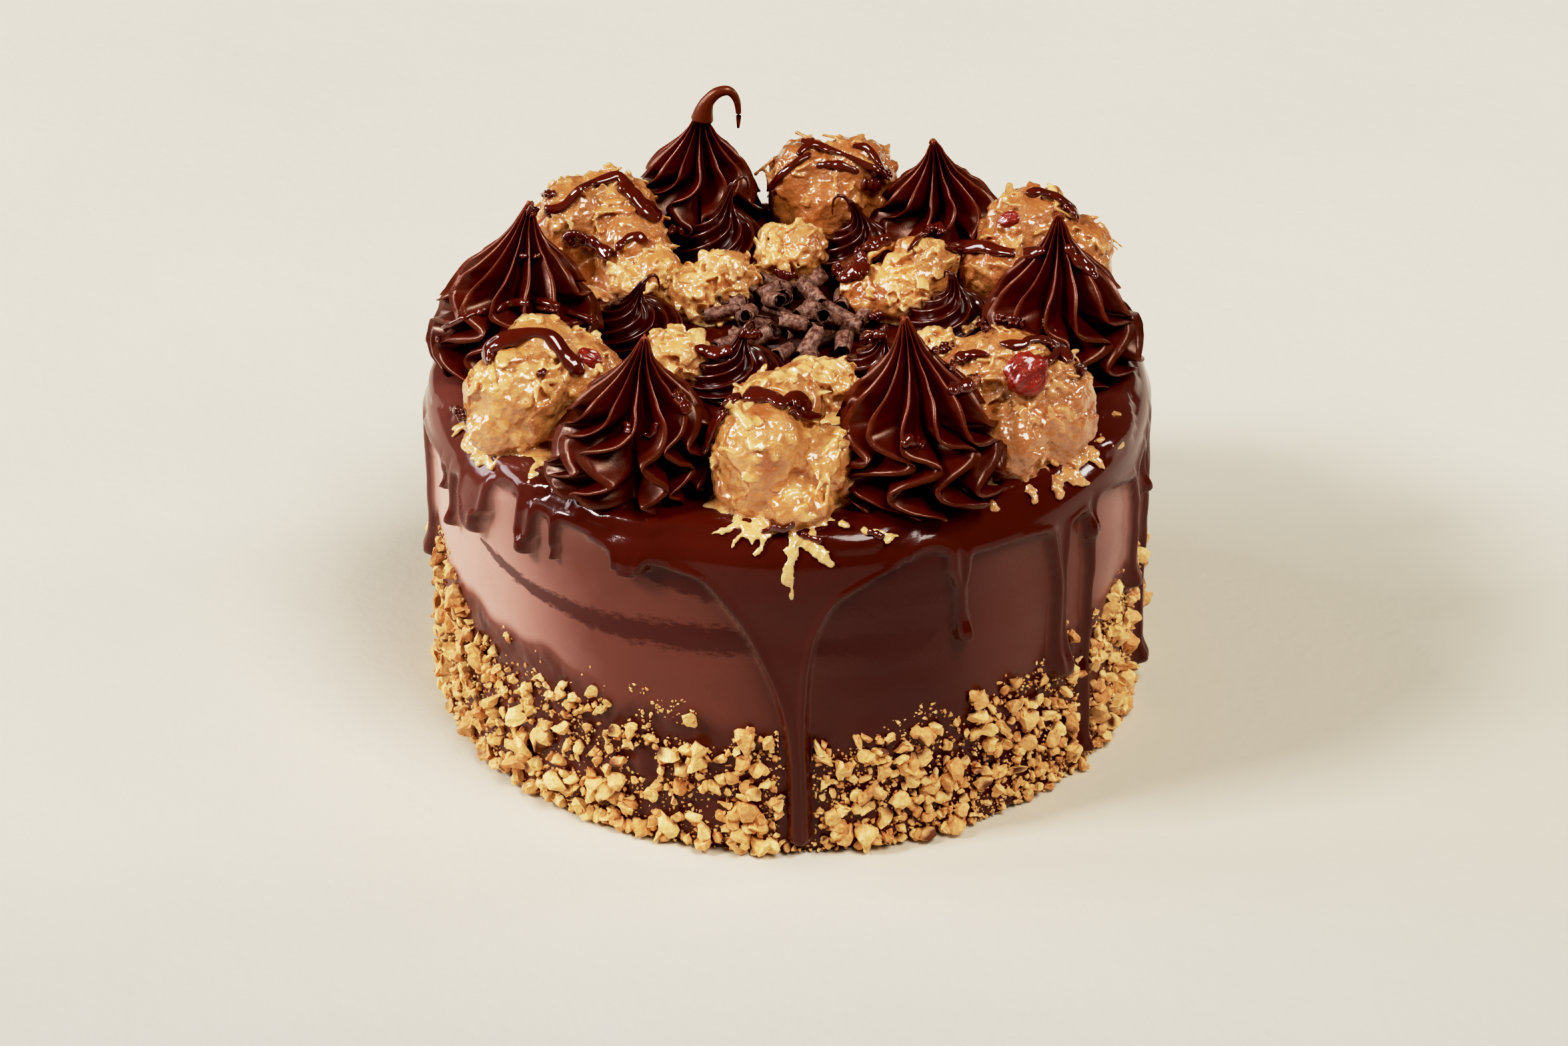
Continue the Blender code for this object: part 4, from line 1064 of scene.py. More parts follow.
def scoop_middle(place):
    """The point that a scoop's skin is measured from."""
    x, y, _, tall = place
    return np.array((x, y, TOP + MIDDLE_SHARE * tall))


def scoop_skin(lump, rows, columns):
    """A lump's skin as rings, cut flat where it sits on the cake.

    A lump is its place, the seed of its noise and how craggy it is.
    """
    way = ball_rings(rows, columns)
    skin = scoop_middle(lump[0]) + way * scoop_reach(way, *lump)[..., None]
    skin[..., 2] = np.maximum(skin[..., 2], TOP - 0.0004)
    return skin


def strips(rng, line, out, half, thick):
    """Flat torn strips: rings of six points about each middle line, broad across it and thin along out.

    line and out are (strips, steps, 3) and half is (strips, steps). Each ring's half width also
    changes at random, which tears the edge.
    """
    way = np.gradient(line, axis=1)
    side = unit(np.cross(out, way))
    over = unit(np.cross(way, side))
    turn = np.linspace(0.0, 2 * math.pi, 6, endpoint=False)
    ragged = half[..., None] * rng.uniform(0.70, 1.30, (*half.shape, 6))
    rings = (line[:, :, None] + (ragged * np.cos(turn))[..., None] * side[:, :, None]
             + (thick * np.sin(turn))[..., None] * over[:, :, None])
    return [closed_rings(strip) for strip in rings]


def shreds_on(rng, lump, count, lengths, widths, lift, lowest):
    """Coconut shreds on a lump: each lies along the skin, and some lift at their far end.

    A shred's middle line is start + L (s heading + a s^2 side + (lift - bow / 2) s^2 out), for s
    from 0 to 1, where the bow keeps it near the round skin.
    """
    place, seed, _ = lump
    out = unit(rng.normal(size=(count * 4, 3)))
    crowded = noise(out * place[2], 0.015, seed + 9) + 0.9 * np.abs(out[:, 2] - 0.25)
    out = out[(out[:, 2] > lowest) & (crowded > 0.10)][:count]
    count = len(out)
    start = scoop_middle(place) + out * scoop_reach(out, *lump)[:, None]
    heading = rng.normal(size=(count, 3)) + np.array((0.0, 0.0, -0.3))
    heading = unit(heading - (heading * out).sum(1, keepdims=True) * out)
    side = np.cross(out, heading)
    length = rng.uniform(*lengths, (count, 1, 1))
    steps = np.linspace(0.0, 1.0, 7)[None, :, None]
    rise = rng.uniform(*lift, (count, 1, 1))
    sweep = rng.uniform(-0.35, 0.35, (count, 1, 1))
    bow = length / (2.0 * place[2])
    line = start[:, None] + length * (steps * heading[:, None] + sweep * steps ** 2 * side[:, None]
                                      + (rise * steps ** 2 - 0.5 * bow * steps ** 2) * out[:, None])
    taper = np.interp(steps.ravel(), (0, 0.2, 0.7, 1.0), (0.6, 1.0, 0.9, 0.45))
    half = rng.uniform(*widths, (count, 1)) * taper
    return strips(rng, line, np.broadcast_to(out[:, None], line.shape), half, SHRED_THICK)


def skirt(rng, place, count):
    """Torn shreds round a scoop's foot that lie on the cake and follow it over the shoulder."""
    x, y, radius, _ = place
    around = rng.uniform(0.0, 2 * math.pi, count)
    heading = around + rng.normal(scale=0.8, size=count)
    length = radius * rng.uniform(0.10, 0.34, count)
    steps = np.linspace(0.0, 1.0, 6)[None, :]
    start = radius * rng.uniform(0.78, 0.98, count)
    plan_x = x + (start * np.cos(around))[:, None] + length[:, None] * steps * np.cos(heading)[:, None]
    plan_y = y + (start * np.sin(around))[:, None] + length[:, None] * steps * np.sin(heading)[:, None]
    line, out = on_the_cake(np.hypot(plan_x, plan_y), np.arctan2(plan_y, plan_x), SKIRT_LIFT)
    half = rng.uniform(0.0009, 0.0021, (count, 1)) * np.interp(steps, (0, 0.6, 1), (1.0, 0.9, 0.3))
    return strips(rng, line, out, half, SKIRT_THICK)


def flakes(rng, middles, outs, sizes, tilt):
    """Torn flakes of coconut: flat boxes with rough edges, tipped from the skin by up to the tilt.

    A flake is the unit ball pushed towards a box, sign(p) |p|^0.6, then scaled, turned and moved.
    """
    count = len(middles)
    points, faces = icosphere(2)
    shape = np.sign(points) * np.abs(points) ** 0.6
    half = np.column_stack((rng.uniform(*sizes, count), rng.uniform(0.38, 0.60, count) * sizes[1],
                            rng.uniform(0.00034, 0.00050, count)))
    ragged = 1.0 + rng.normal(scale=0.14, size=(count, len(points), 3))
    shape = shape[None] * half[:, None] * ragged
    upward = unit(outs + rng.uniform(0.0, tilt, (count, 1)) * rng.normal(size=(count, 3)))
    along = unit(np.cross(upward, rng.normal(size=(count, 3))))
    across = np.cross(upward, along)
    shape = (middles[:, None] + shape[..., :1] * along[:, None] + shape[..., 1:2] * across[:, None]
             + shape[..., 2:] * upward[:, None])
    return [(shape.reshape(-1, 3), repeated(faces, count, len(points)))]


def flakes_on(rng, lump, count, sizes, tilt, lowest):
    """Flakes spread over a lump's skin, above the lowest direction given."""
    way = unit(rng.normal(size=(count * 4, 3)))
    way = way[way[:, 2] > lowest][:count]
    middles = scoop_middle(lump[0]) + way * (scoop_reach(way, *lump)[:, None] + 0.0001)
    return flakes(rng, middles, way, sizes, tilt)


def hanging_shreds(rng, number):
    """The shreds that the photo shows hanging from a ball, laid along the cake's skin.

    Each is a ragged strip with a few flakes stuck on it, so that it looks torn.
    """
    made = []
    for start, start_angle, end, end_angle, half_start, half_end in HANGING_SHREDS.get(number, ()):
        steps = np.linspace(0.0, 1.0, 17)
        travel = start + (end - start) * steps
        angle = np.radians(start_angle + (end_angle - start_angle) * steps ** 1.3)
        wander = 0.0007 * np.sin(7.0 * steps + 3.0 * number + start_angle)
        line, out = on_the_cake(travel, angle + wander / CAKE_RADIUS, SKIRT_LIFT)
        halves = (half_start, (half_start + half_end) / 2, half_end, half_end * 0.6)
        half = np.interp(steps, (0.0, 0.5, 0.92, 1.0), halves) * (1.0 + 0.35 * noise(line, 0.0022, 71))
        made += strips(rng, line[None], out[None], half[None], HANGING_THICK)
        stuck = rng.integers(0, 15, 5)
        side = rng.normal(scale=0.6, size=(5, 3)) * half[stuck][:, None]
        made += flakes(rng, line[stuck] + side, out[stuck], (0.0011, 0.0021), 0.25)
    return made


def thick_strands(rng, place, count):
    """Fat bent strands of a loose clump: arcs from low on one side, up over the middle and down."""
    x, y, radius, tall = place
    steps = np.linspace(0.0, 1.0, 9)[None, :, None]
    foot = rng.uniform(0, 2 * math.pi, (2, count))[0]
    away = foot + rng.uniform(0.8, 2.6, count)
    inner = rng.uniform(0.45, 0.95, (count, 1))
    ends = [np.stack((x + radius * inner[:, 0] * np.cos(a), y + radius * inner[:, 0] * np.sin(a),
                      TOP + tall * rng.uniform(0.05, 0.50, count)), axis=-1)[:, None] for a in (foot, away)]
    arch = tall * rng.uniform(0.05, 0.38, (count, 1, 1)) * np.sin(math.pi * steps)
    line = ends[0] * (1 - steps) + ends[1] * steps + arch * np.array((0.0, 0.0, 1.0))
    line = line + 0.0011 * np.stack([noise(line, 0.0045, 31 + axis) for axis in range(3)], axis=-1)
    out = line - np.array((x, y, TOP))
    half = rng.uniform(0.0013, 0.0024, (count, 1)) * np.ones((1, 9))
    return strips(rng, line, out, half, 0.0012)


def remeshed(points, faces, voxel):
    """One skin round overlapping shapes: a voxel remesh, then smoothing, applied to the mesh."""
    rough_piece = new_piece("coconut_rough", points, faces, None)
    remesh = rough_piece.modifiers.new("skin", "REMESH")
    remesh.mode = "VOXEL"
    remesh.voxel_size = voxel
    relax = rough_piece.modifiers.new("relax", "SMOOTH")
    relax.factor = 0.5
    relax.iterations = SKIN_PASSES
    graph = bpy.context.evaluated_depsgraph_get()
    mesh = bpy.data.meshes.new_from_object(rough_piece.evaluated_get(graph))
    bpy.data.objects.remove(rough_piece)
    return mesh


def flange(place, number, seed, reach_share, lift):
    """The torn foot of a scoop: a thin disc on the cake whose edge follows two noises."""
    x, y, radius, _ = place
    around = np.linspace(0.0, 2 * math.pi, 120, endpoint=False)
    on_edge = np.stack((radius * np.cos(around), radius * np.sin(around), 0 * around), axis=-1)
    broad, fine = noise(on_edge, 0.011, seed + number), noise(on_edge, 0.0032, seed + number + 1)
    edge = radius * (reach_share + 0.12 * broad + 0.10 * fine)
    shares = np.concatenate((np.linspace(0.1, 1.0, 7), np.linspace(1.0, 0.1, 9)))[:, None]
    upper = (np.arange(16) > 6)[:, None]
    thick = np.where(upper, 0.0003 + lift * (1.0 - shares ** 5), -0.0004)
    plan_x, plan_y = x + edge * shares * np.cos(around), y + edge * shares * np.sin(around)
    return closed_rings(on_the_cake(np.hypot(plan_x, plan_y), np.arctan2(plan_y, plan_x),
                                    thick + 0 * plan_x)[0])


def above_lumps(spots, lumps):
    """Height of each spot above the nearest lump's own skin, along the line from that lump's middle."""
    heights = []
    for lump in lumps:
        away = spots - scoop_middle(lump[0])
        far = np.linalg.norm(away, axis=1)
        heights.append(far - scoop_reach(away / far[:, None], *lump))
    return np.min(heights, axis=0)


def coconut_piece(name, lumps, parts, voxel, tone, finish, node):
    """The parts in one skin with fine bumps; 'proud' is 1 where shreds stand above the lumps."""
    mesh = remeshed(*joined(parts), voxel)
    spots, out = vectors_of(mesh.vertices, "co"), vectors_of(mesh.vertex_normals, "vector")
    above = above_lumps(spots, lumps)
    creased = 1.0 - np.abs(noise(spots, 0.0040, 53)) - 0.7
    bumps = 0.00030 * noise(spots, 0.0023, 51) + 0.00020 * noise(spots, 0.0012, 52) + 0.0005 * creased
    spots = spots + out * bumps[:, None]
    spots[:, 2] = np.where(np.hypot(spots[:, 0], spots[:, 1]) < CAKE_RADIUS - SHOULDER_RADIUS,
                           np.maximum(spots[:, 2], CAKE_HEIGHT), spots[:, 2])
    mesh.vertices.foreach_set("co", spots.astype(np.float32).ravel())
    # Where 'proud' is low, in the folds, the finish paints darker brown as shade.
    set_measure(mesh, "proud", smooth(-0.0003, 0.0011, above))
    set_measure(mesh, "tone", np.full(len(spots), tone))
    mesh.polygons.foreach_set("use_smooth", np.ones(len(mesh.polygons), bool))
    mesh.update()
    return settled(placed(name, mesh, finish), "coconut_icing", node)


def numbered(places, first_seed, crags):
    """Lumps at these places, each with a seed of its own."""
    return [(place, first_seed + count, crags) for count, place in enumerate(places)]


def coconut_ball(number, finish):
    """A scoop of coconut icing: lumps with flakes and shreds on them and a torn foot."""
    rng = np.random.default_rng(BALL_SEED + number)
    place = COCONUT_BALLS[number - 1]
    lumps = numbered(BALL_LUMPS[number - 1], BALL_SEED + 7 * number, BALL_CRAGS)
    parts = []
    for lump in lumps:
        parts.append(closed_rings(scoop_skin(lump, *BALL_GRID)))
        for settings in BALL_FLAKES:
            parts += flakes_on(rng, lump, *settings)
        parts += shreds_on(rng, lump, *BALL_SHREDS)
    parts.append(flange(place, number, *BALL_FOOT))
    parts += skirt(rng, place, BALL_SKIRT)
    parts += hanging_shreds(rng, number)
    return coconut_piece(f"coconut_{number}", lumps, parts, BALL_VOXEL, BALL_TONES[number - 1], finish,
                         f"coconut_ball_{number}")


def coconut_clump(number, finish):
    """A loose clump: low lumps, fat strands over them with gaps between, and many tipped flakes."""
    place = COCONUT_CLUMPS[number - 1]
    rng = np.random.default_rng(CLUMP_SEED + number)
    lumps = numbered(CLUMP_LUMPS[number - 1], CLUMP_SEED + 7 * number, CLUMP_CRAGS)
    parts = thick_strands(rng, place, CLUMP_STRANDS)
    for lump in lumps:
        parts.append(closed_rings(scoop_skin(lump, *CLUMP_GRID)))
        for settings in CLUMP_FLAKES:
            parts += flakes_on(rng, lump, *settings)
    parts.append(flange(place, number, *CLUMP_FOOT))
    parts += skirt(rng, place, CLUMP_SKIRT)
    return coconut_piece(f"coconut_small_{number}", lumps, parts, CLUMP_VOXEL, CLUMP_TONE, finish,
                         f"coconut_clump_{number}")


# ---------------------------------------------------------------- chocolate curls

# The heap: its middle and reach, then the curls of each layer: how many, share of the reach, lift.
CURL_MIDDLE = (0.0010, 0.0150)
CURL_REACH = (0.0250, 0.0245)
CURL_LAYERS = ((25, 1.0, 0.0), (7, 0.60, 0.0034))
# The curls: outer radius, turns of the spiral, length, tilt as a share of pi, and the sheet's thickness.
CURL_RADII = (0.0022, 0.0030)
CURL_TURNS = (1.10, 1.60)
CURL_LENGTHS = (0.0065, 0.0115)
CURL_TILTS = (0.28, 0.50)
CURL_SHEET = 0.00042
# Points along each spiral, and rings along each curl.
CURL_STEPS, CURL_RINGS = 17, 5
CURL_SEED = 7
# The angle in radians from each seed of a sunflower to the next.
SUNFLOWER_ANGLE = 2.39996


def curl_spots(rng):
    """The curls' places: a sunflower pattern, reach sqrt(n), in each layer of the heap."""
    spots = []
    for layer, share, lift in CURL_LAYERS:
        number = np.arange(layer)
        reach = share * np.sqrt((number + 0.5) / layer) + rng.normal(scale=0.02, size=layer)
        around = number * SUNFLOWER_ANGLE + rng.normal(scale=0.12, size=layer) + 9.0 * lift
        spots.append(np.stack((CURL_MIDDLE[0] + CURL_REACH[0] * reach * np.cos(around),
                               CURL_MIDDLE[1] + CURL_REACH[1] * reach * np.sin(around),
                               TOP + 0.0030 + lift + rng.uniform(0.0, 0.0012, layer)), axis=-1))
    return np.concatenate(spots)


def curl_faces():
    """Faces of one curl: both faces of its sheet, the long edges and a strip that closes each end."""
    columns = 2 * CURL_STEPS
    near = np.arange(CURL_STEPS - 1)
    start = np.stack((near, near + 1, columns - 2 - near, columns - 1 - near), axis=-1)
    end = start + (CURL_RINGS - 1) * columns
    return np.concatenate((ring_faces(CURL_RINGS, columns), start[:, ::-1], end))


def chocolate_curls(finish):
    """Rolled shavings on a low core that is painted dark as shade: each is a spiral r = a - b w carried along
    its length.

    w runs over 1.1 to 1.6 turns. The sheet has an outer and an inner face, so each ring of points
    goes out along the spiral and back inside it.
    """
    rng = np.random.default_rng(CURL_SEED)
    spots = curl_spots(rng)
    count = len(spots)
    outer = rng.uniform(*CURL_RADII, (count, 1))
    turns = rng.uniform(*CURL_TURNS, (count, 1))
    w = np.linspace(0.0, 1.0, CURL_STEPS)[None, :]
    spiral = outer * (1.0 - 0.30 * w * turns / 1.5)
    radii = np.concatenate((spiral, (spiral - CURL_SHEET)[:, ::-1]), axis=1)
    turn = 2 * math.pi * np.concatenate((w * turns, (w * turns)[:, ::-1]), axis=1)
    length = rng.uniform(*CURL_LENGTHS, (count, 1, 1))
    along = np.linspace(-0.5, 0.5, CURL_RINGS)[None, :, None]
    flare = 1.0 + 0.09 * rng.normal(size=(count, 1, 1)) * along * 2
    ragged = 0.0005 * rng.normal(size=(count, CURL_RINGS, 2 * CURL_STEPS)) * (np.abs(along) > 0.4)
    shape = np.stack(np.broadcast_arrays(radii[:, None] * np.cos(turn[:, None]) * flare,
                                         radii[:, None] * np.sin(turn[:, None]) * flare,
                                         along * length + ragged), axis=-1)
    tilt = rng.uniform(*CURL_TILTS, count) * math.pi
    heading = rng.uniform(0, 2 * math.pi, count)
    spin = rng.uniform(0, 2 * math.pi, count)
    shape = np.einsum("nij,nlpj->nlpi", posed(spin, tilt, heading), shape) + spots[:, None, None]
    shape[..., 2] = np.maximum(shape[..., 2], TOP + 0.0002)
    faces = repeated(curl_faces(), count, 2 * CURL_STEPS * CURL_RINGS)
    core = closed_rings(scoop_skin(((*CURL_MIDDLE, CURL_REACH[1] * 0.72, 0.0036), 9, 0.8), 24, 48))
    # Painted shade: the inner face of each roll and the core are marked for the darker colour.
    inner = np.repeat((0.0, 1.0), CURL_STEPS)
    dark = np.concatenate((np.tile(inner, count * CURL_RINGS), np.ones(len(core[0]))))
    piece = new_piece("rolled_curls", *joined([(shape.reshape(-1, 3), faces), core]), finish, inner=dark)
    return settled(piece, "shaved_chocolate", "chocolate_curls")


def posed(spin, tilt, heading):
    """Turning matrices: spin about Z, then tilt about Y, then heading about Z."""
    zero, one = np.zeros_like(spin), np.ones_like(spin)

    def about_z(a):
        return np.array(((np.cos(a), -np.sin(a), zero), (np.sin(a), np.cos(a), zero), (zero, zero, one)))

    lean = np.array(((np.cos(tilt), zero, np.sin(tilt)), (zero, one, zero),
                     (-np.sin(tilt), zero, np.cos(tilt))))
    return np.einsum("ijn,jkn,kln->nil", about_z(heading), lean, about_z(spin))


# ---------------------------------------------------------------- syrup

# Ribbons of syrup: half width, and points to the right of the view's middle and above it as the
# camera sees them, all in millimetres.
RIBBONS = (
    (1.25, ((-76.4, 91.6), (-71.1, 91.6), (-65.3, 92.6), (-62.3, 95.3), (-59.4, 98.4), (-55.5, 100.2),
         (-52.0, 101.2), (-48.6, 102.2), (-46.9, 100.2), (-43.7, 98.2))),
    (2.3, ((-48.0, 100.2), (-43.7, 95.9), (-39.8, 91.6), (-35.9, 89.2))),
    (1.0, ((-71.1, 96.1), (-69.2, 96.7), (-66.8, 96.7))),
    (1.9, ((-65.3, 83.8), (-61.4, 83.6), (-56.7, 82.6), (-53.9, 80.6), (-51.6, 77.5))),
    (1.2, ((-49.0, 79.7), (-47.1, 82.8), (-43.7, 84.2), (-39.8, 82.8))),
    (1.6, ((-33.2, 86.3), (-31.2, 85.7), (-29.7, 84.9))),
    (0.8, ((-5.0, 97.1), (-2.4, 100.6), (1.5, 104.5), (4.8, 106.9), (8.1, 108.4))),
    (0.85, ((3.4, 107.8), (8.1, 111.4), (13.2, 109.8), (18.5, 107.8), (23.8, 105.1), (27.3, 103.7),
         (31.2, 100.4))),
    (1.2, ((9.3, 104.9), (15.2, 105.1), (22.2, 102.9))),
    (0.8, ((19.9, 110.8), (24.4, 110.2), (28.3, 105.3), (31.6, 101.8))),
    (0.8, ((4.8, 111.6), (7.1, 112.1), (9.1, 111.9))),
    (1.8, ((22.8, 99.8), (25.5, 99.2), (28.7, 98.2))),
    (1.7, ((20.5, 78.9), (25.7, 81.6), (30.8, 83.6), (36.1, 86.1))),
    (1.7, ((14.0, 73.6), (18.9, 75.9), (24.4, 78.9))),
    (1.4, ((41.2, 85.3), (43.5, 86.7), (45.5, 86.7), (46.7, 84.2))),
    (0.55, ((36.1, 79.5), (37.7, 81.6), (39.6, 83.8), (42.8, 85.5))),
    (1.7, ((47.5, 81.6), (52.2, 81.0), (57.6, 81.4), (64.1, 79.9), (70.7, 79.1), (77.0, 80.2))),
    (0.9, ((70.7, 97.1), (75.8, 97.3), (80.7, 95.7), (84.4, 92.4), (86.6, 88.7))),
    (1.6, ((82.7, 81.8), (85.6, 77.7), (89.5, 74.6), (91.7, 71.6))),
    (1.2, ((-84.4, 61.8), (-80.7, 64.4), (-73.9, 65.0), (-68.2, 64.0), (-61.4, 61.6), (-56.3, 59.5),
         (-51.6, 55.2), (-48.8, 50.1))),
    (2.1, ((-87.4, 46.4), (-86.4, 50.9), (-83.1, 53.4), (-78.4, 54.8), (-73.9, 56.0), (-69.6, 55.4),
         (-66.8, 53.0), (-64.5, 49.7), (-61.4, 46.2), (-58.2, 43.8))),
    (0.9, ((-72.3, 43.8), (-70.9, 44.4), (-69.6, 44.0))),
    (1.2, ((-97.2, 34.8), (-95.8, 32.7), (-94.2, 29.9))),
    (1.7, ((-75.4, 92.0), (-74.3, 91.6), (-73.1, 90.6))),
    (0.8, ((-87.0, 62.8), (-91.5, 61.5), (-95.2, 59.5), (-100.5, 56.4), (-101.9, 52.8))),
    (0.7, ((-77.6, 78.5), (-76.6, 78.3), (-75.4, 78.5))),
    (0.7, ((-73.5, 78.5), (-72.7, 78.3), (-71.5, 78.5))),
    (0.8, ((-46.5, 29.7), (-45.9, 28.0), (-46.3, 26.2))),
    (0.9, ((-41.2, 26.2), (-39.2, 25.8), (-38.1, 28.0), (-37.5, 29.7))),
    (1.1, ((-23.8, 20.4), (-22.2, 25.2), (-19.7, 30.5), (-16.7, 35.4), (-12.4, 38.0))),
    (2.2, ((-12.4, 36.8), (-8.1, 37.6), (-3.8, 37.2), (-0.3, 35.4), (2.4, 36.8), (5.8, 34.8), (7.1, 31.7))),
    (1.2, ((1.9, 34.1), (5.8, 31.7), (11.1, 31.3))),
    (0.9, ((-6.9, -2.7), (-3.0, -1.6), (0.1, -2.0), (3.2, -0.2))),
    (0.9, ((4.8, -3.1), (7.5, -4.3), (11.4, -5.3))),
    (1.0, ((24.4, -2.3), (26.7, -3.1), (29.1, -4.3))),
    (1.35, ((49.2, 44.6), (49.8, 46.8), (52.0, 48.7), (55.3, 49.7), (60.0, 49.5))),
    (1.2, ((62.9, 52.8), (67.2, 52.3), (70.2, 52.5), (71.9, 53.8), (75.3, 54.2), (78.6, 53.0), (80.1, 51.1))),
    (1.4, ((75.6, 46.8), (78.4, 48.3), (80.9, 50.7), (83.3, 48.9), (84.4, 47.2))),
    (0.9, ((85.6, 47.0), (87.6, 45.6), (88.2, 43.6))),
    (1.2, ((57.4, 59.7), (58.4, 58.5), (59.2, 56.8))),
    (1.2, ((61.7, 60.3), (66.1, 59.9), (70.6, 58.1))),
    (1.4, ((43.5, 50.5), (46.7, 51.3), (50.0, 52.8))),
    (1.6, ((-26.5, 51.7), (-22.2, 50.3), (-17.9, 50.3), (-15.2, 51.7))),
    (1.5, ((-12.8, 56.2), (-10.1, 55.0), (-6.9, 55.6))),
    (1.7, ((4.0, 56.2), (6.8, 55.6), (9.1, 57.0))),
    (1.3, ((-3.0, 74.2), (0.5, 72.4), (4.0, 72.8))),
    (1.5, ((22.4, 53.6), (26.3, 55.2), (30.2, 54.6))),
    (1.2, ((25.3, 59.9), (27.5, 61.5), (28.7, 59.1))),
    (2.2, ((15.6, 71.2), (19.5, 73.2), (22.8, 74.8), (25.3, 73.6))),
    (2.0, ((57.6, 42.9), (52.7, 39.9), (47.9, 39.3))),
    (1.6, ((-32.4, 38.9), (-29.7, 36.0), (-28.5, 31.7))),
    (1.8, ((41.6, 22.7), (38.1, 24.3), (34.5, 22.7))),
)
# Broad pale shreds of coconut that lie on the balls, in the same terms.
PALE_SHREDS = (
    (1.6, ((-17.9, 36.2), (-14.4, 33.0), (-11.5, 30.0), (-9.4, 27.4))),
    (1.1, ((-12.0, 33.6), (-8.6, 36.4), (-7.0, 38.5))), (1.0, ((-86.0, 48.0), (-85.6, 43.0), (-84.0, 38.5))),
    (1.0, ((-78.0, 59.5), (-74.0, 60.5), (-70.5, 59.0))),
    (1.0, ((52.0, 56.5), (55.6, 58.0), (59.0, 61.5))), (1.1, ((74.5, 61.5), (78.0, 58.0), (80.5, 53.5))),
    (1.0, ((77.0, 99.5), (79.5, 96.5), (80.6, 93.0))),
)
# Points along and across each ribbon, and how thick syrup and shreds are for their half width.
RIBBON_STEPS, RIBBON_LANES = 44, 9
SYRUP_FLATNESS, SHRED_FLATNESS = 0.46, 0.50
# Ribbons are cut at steps in depth of this size, and a shorter stretch than this is left out. Across
# a ribbon the depth stays this near its middle's.
DEPTH_STEP = 0.003
SHORTEST_STRETCH = 5
LANE_SLACK = 0.0020
# Pieces of nut in the coconut: right and up in the view, half length, half width, turn in degrees.
PECANS = ((71.5, 43.4, 6.3, 5.6, 35.0), (-57.1, 48.3, 3.4, 2.6, -20.0), (66.1, 88.9, 3.2, 2.4, 20.0))
# The map of depths: the size of its cells and its corners, right and up in the view.
VIEW_CELL = 0.0005
VIEW_LOW, VIEW_HIGH = np.array((-0.125, -0.060)), np.array((0.125, 0.135))


def camera_frame():
    """The camera's place and its directions right, up and back."""
    rise = math.radians(CAMERA_ELEVATION)
    back = np.array((0.0, -math.cos(rise), math.sin(rise)))
    return (np.array(LOOK_AT) + CAMERA_DISTANCE * back, np.array((1.0, 0.0, 0.0)),
            np.array((0.0, math.sin(rise), math.cos(rise))), back)


def from_view(flat, depth):
    """The points at a depth before the camera behind each place of the view."""
    eye, right, up, back = camera_frame()
    ray = flat[..., :1] / CAMERA_DISTANCE * right + flat[..., 1:] / CAMERA_DISTANCE * up - back
    return eye + depth[..., None] * ray


def cake_depth(flat):
    """The depth of the cake's own skin behind each place of the view.

    The ray meets the top and its round shoulder, z = T - s + sqrt(s^2 - (r - R + s)^2), found by
    steps that halve the error, or the upright wall where that lies further on.
    """
    eye = camera_frame()[0]
    ray = from_view(flat, np.ones(flat.shape[:-1])) - eye
    reach = CAKE_RADIUS + GLAZE
    deep = (TOP - eye[2]) / ray[..., 2]
    for _ in range(12):
        spots = eye + deep[..., None] * ray
        past = np.clip(np.hypot(spots[..., 0], spots[..., 1]) - reach + SHOULDER_RADIUS, 0.0, SHOULDER_RADIUS)
        skin = TOP + 0.0003 - SHOULDER_RADIUS + np.sqrt(SHOULDER_RADIUS ** 2 - past ** 2)
        deep = (deep + (skin - eye[2]) / ray[..., 2]) / 2
    aside = np.clip(eye[0] + deep * ray[..., 0], -reach, reach)
    return np.maximum(deep, (-np.sqrt(reach ** 2 - aside ** 2) - eye[1]) / ray[..., 1])


def depth_map(pieces):
    """The depth of the nearest skin in each cell of the view, from the points of the pieces.

    Where no piece has a point, the cake's own skin gives the depth.
    """
    eye, right, up, back = camera_frame()
    shape = np.ceil((VIEW_HIGH - VIEW_LOW) / VIEW_CELL).astype(int)
    depths = np.full(shape, np.inf)
    for piece in pieces:
        away = vectors_of(piece.data.vertices, "co") - eye
        far = -(away @ back)
        flat = np.column_stack((away @ right, away @ up)) / far[:, None] * CAMERA_DISTANCE
        cell = ((flat - VIEW_LOW) / VIEW_CELL).astype(int)
        inside = np.all((cell >= 0) & (cell < shape), axis=1)
        np.minimum.at(depths, (cell[inside, 0], cell[inside, 1]), far[inside])
    for _ in range(2):
        padded = np.pad(depths, 1, constant_values=np.inf)
        nearest = np.min([padded[i:i + shape[0], j:j + shape[1]] for i in range(3) for j in range(3)], axis=0)
        depths = np.where(np.isinf(depths), nearest, depths)
    cells = np.stack(np.meshgrid(*(np.arange(n) for n in shape), indexing="ij"), axis=-1)
    flat = VIEW_LOW + (cells + 0.5) * VIEW_CELL
    return np.minimum(depths, cake_depth(flat))


def eased(depths):
    """The depth map with small bumps covered: the nearest within a millimetre, then averaged.

    Across a step of 2.5 mm or more the average isn't used, so that no film spans it.
    """
    rows, columns = depths.shape
    padded = np.pad(depths, 2, mode="edge")
    near = np.min([padded[i:i + rows, j:j + columns] for i in range(5) for j in range(5)], axis=0)
    mean = near
    for _ in range(6):
        padded = np.pad(mean, 1, mode="edge")
        mean = np.mean([padded[i:i + rows, j:j + columns] for i in range(3) for j in range(3)], axis=0)
    return np.where(np.abs(mean - near) < 0.0025, mean, near)


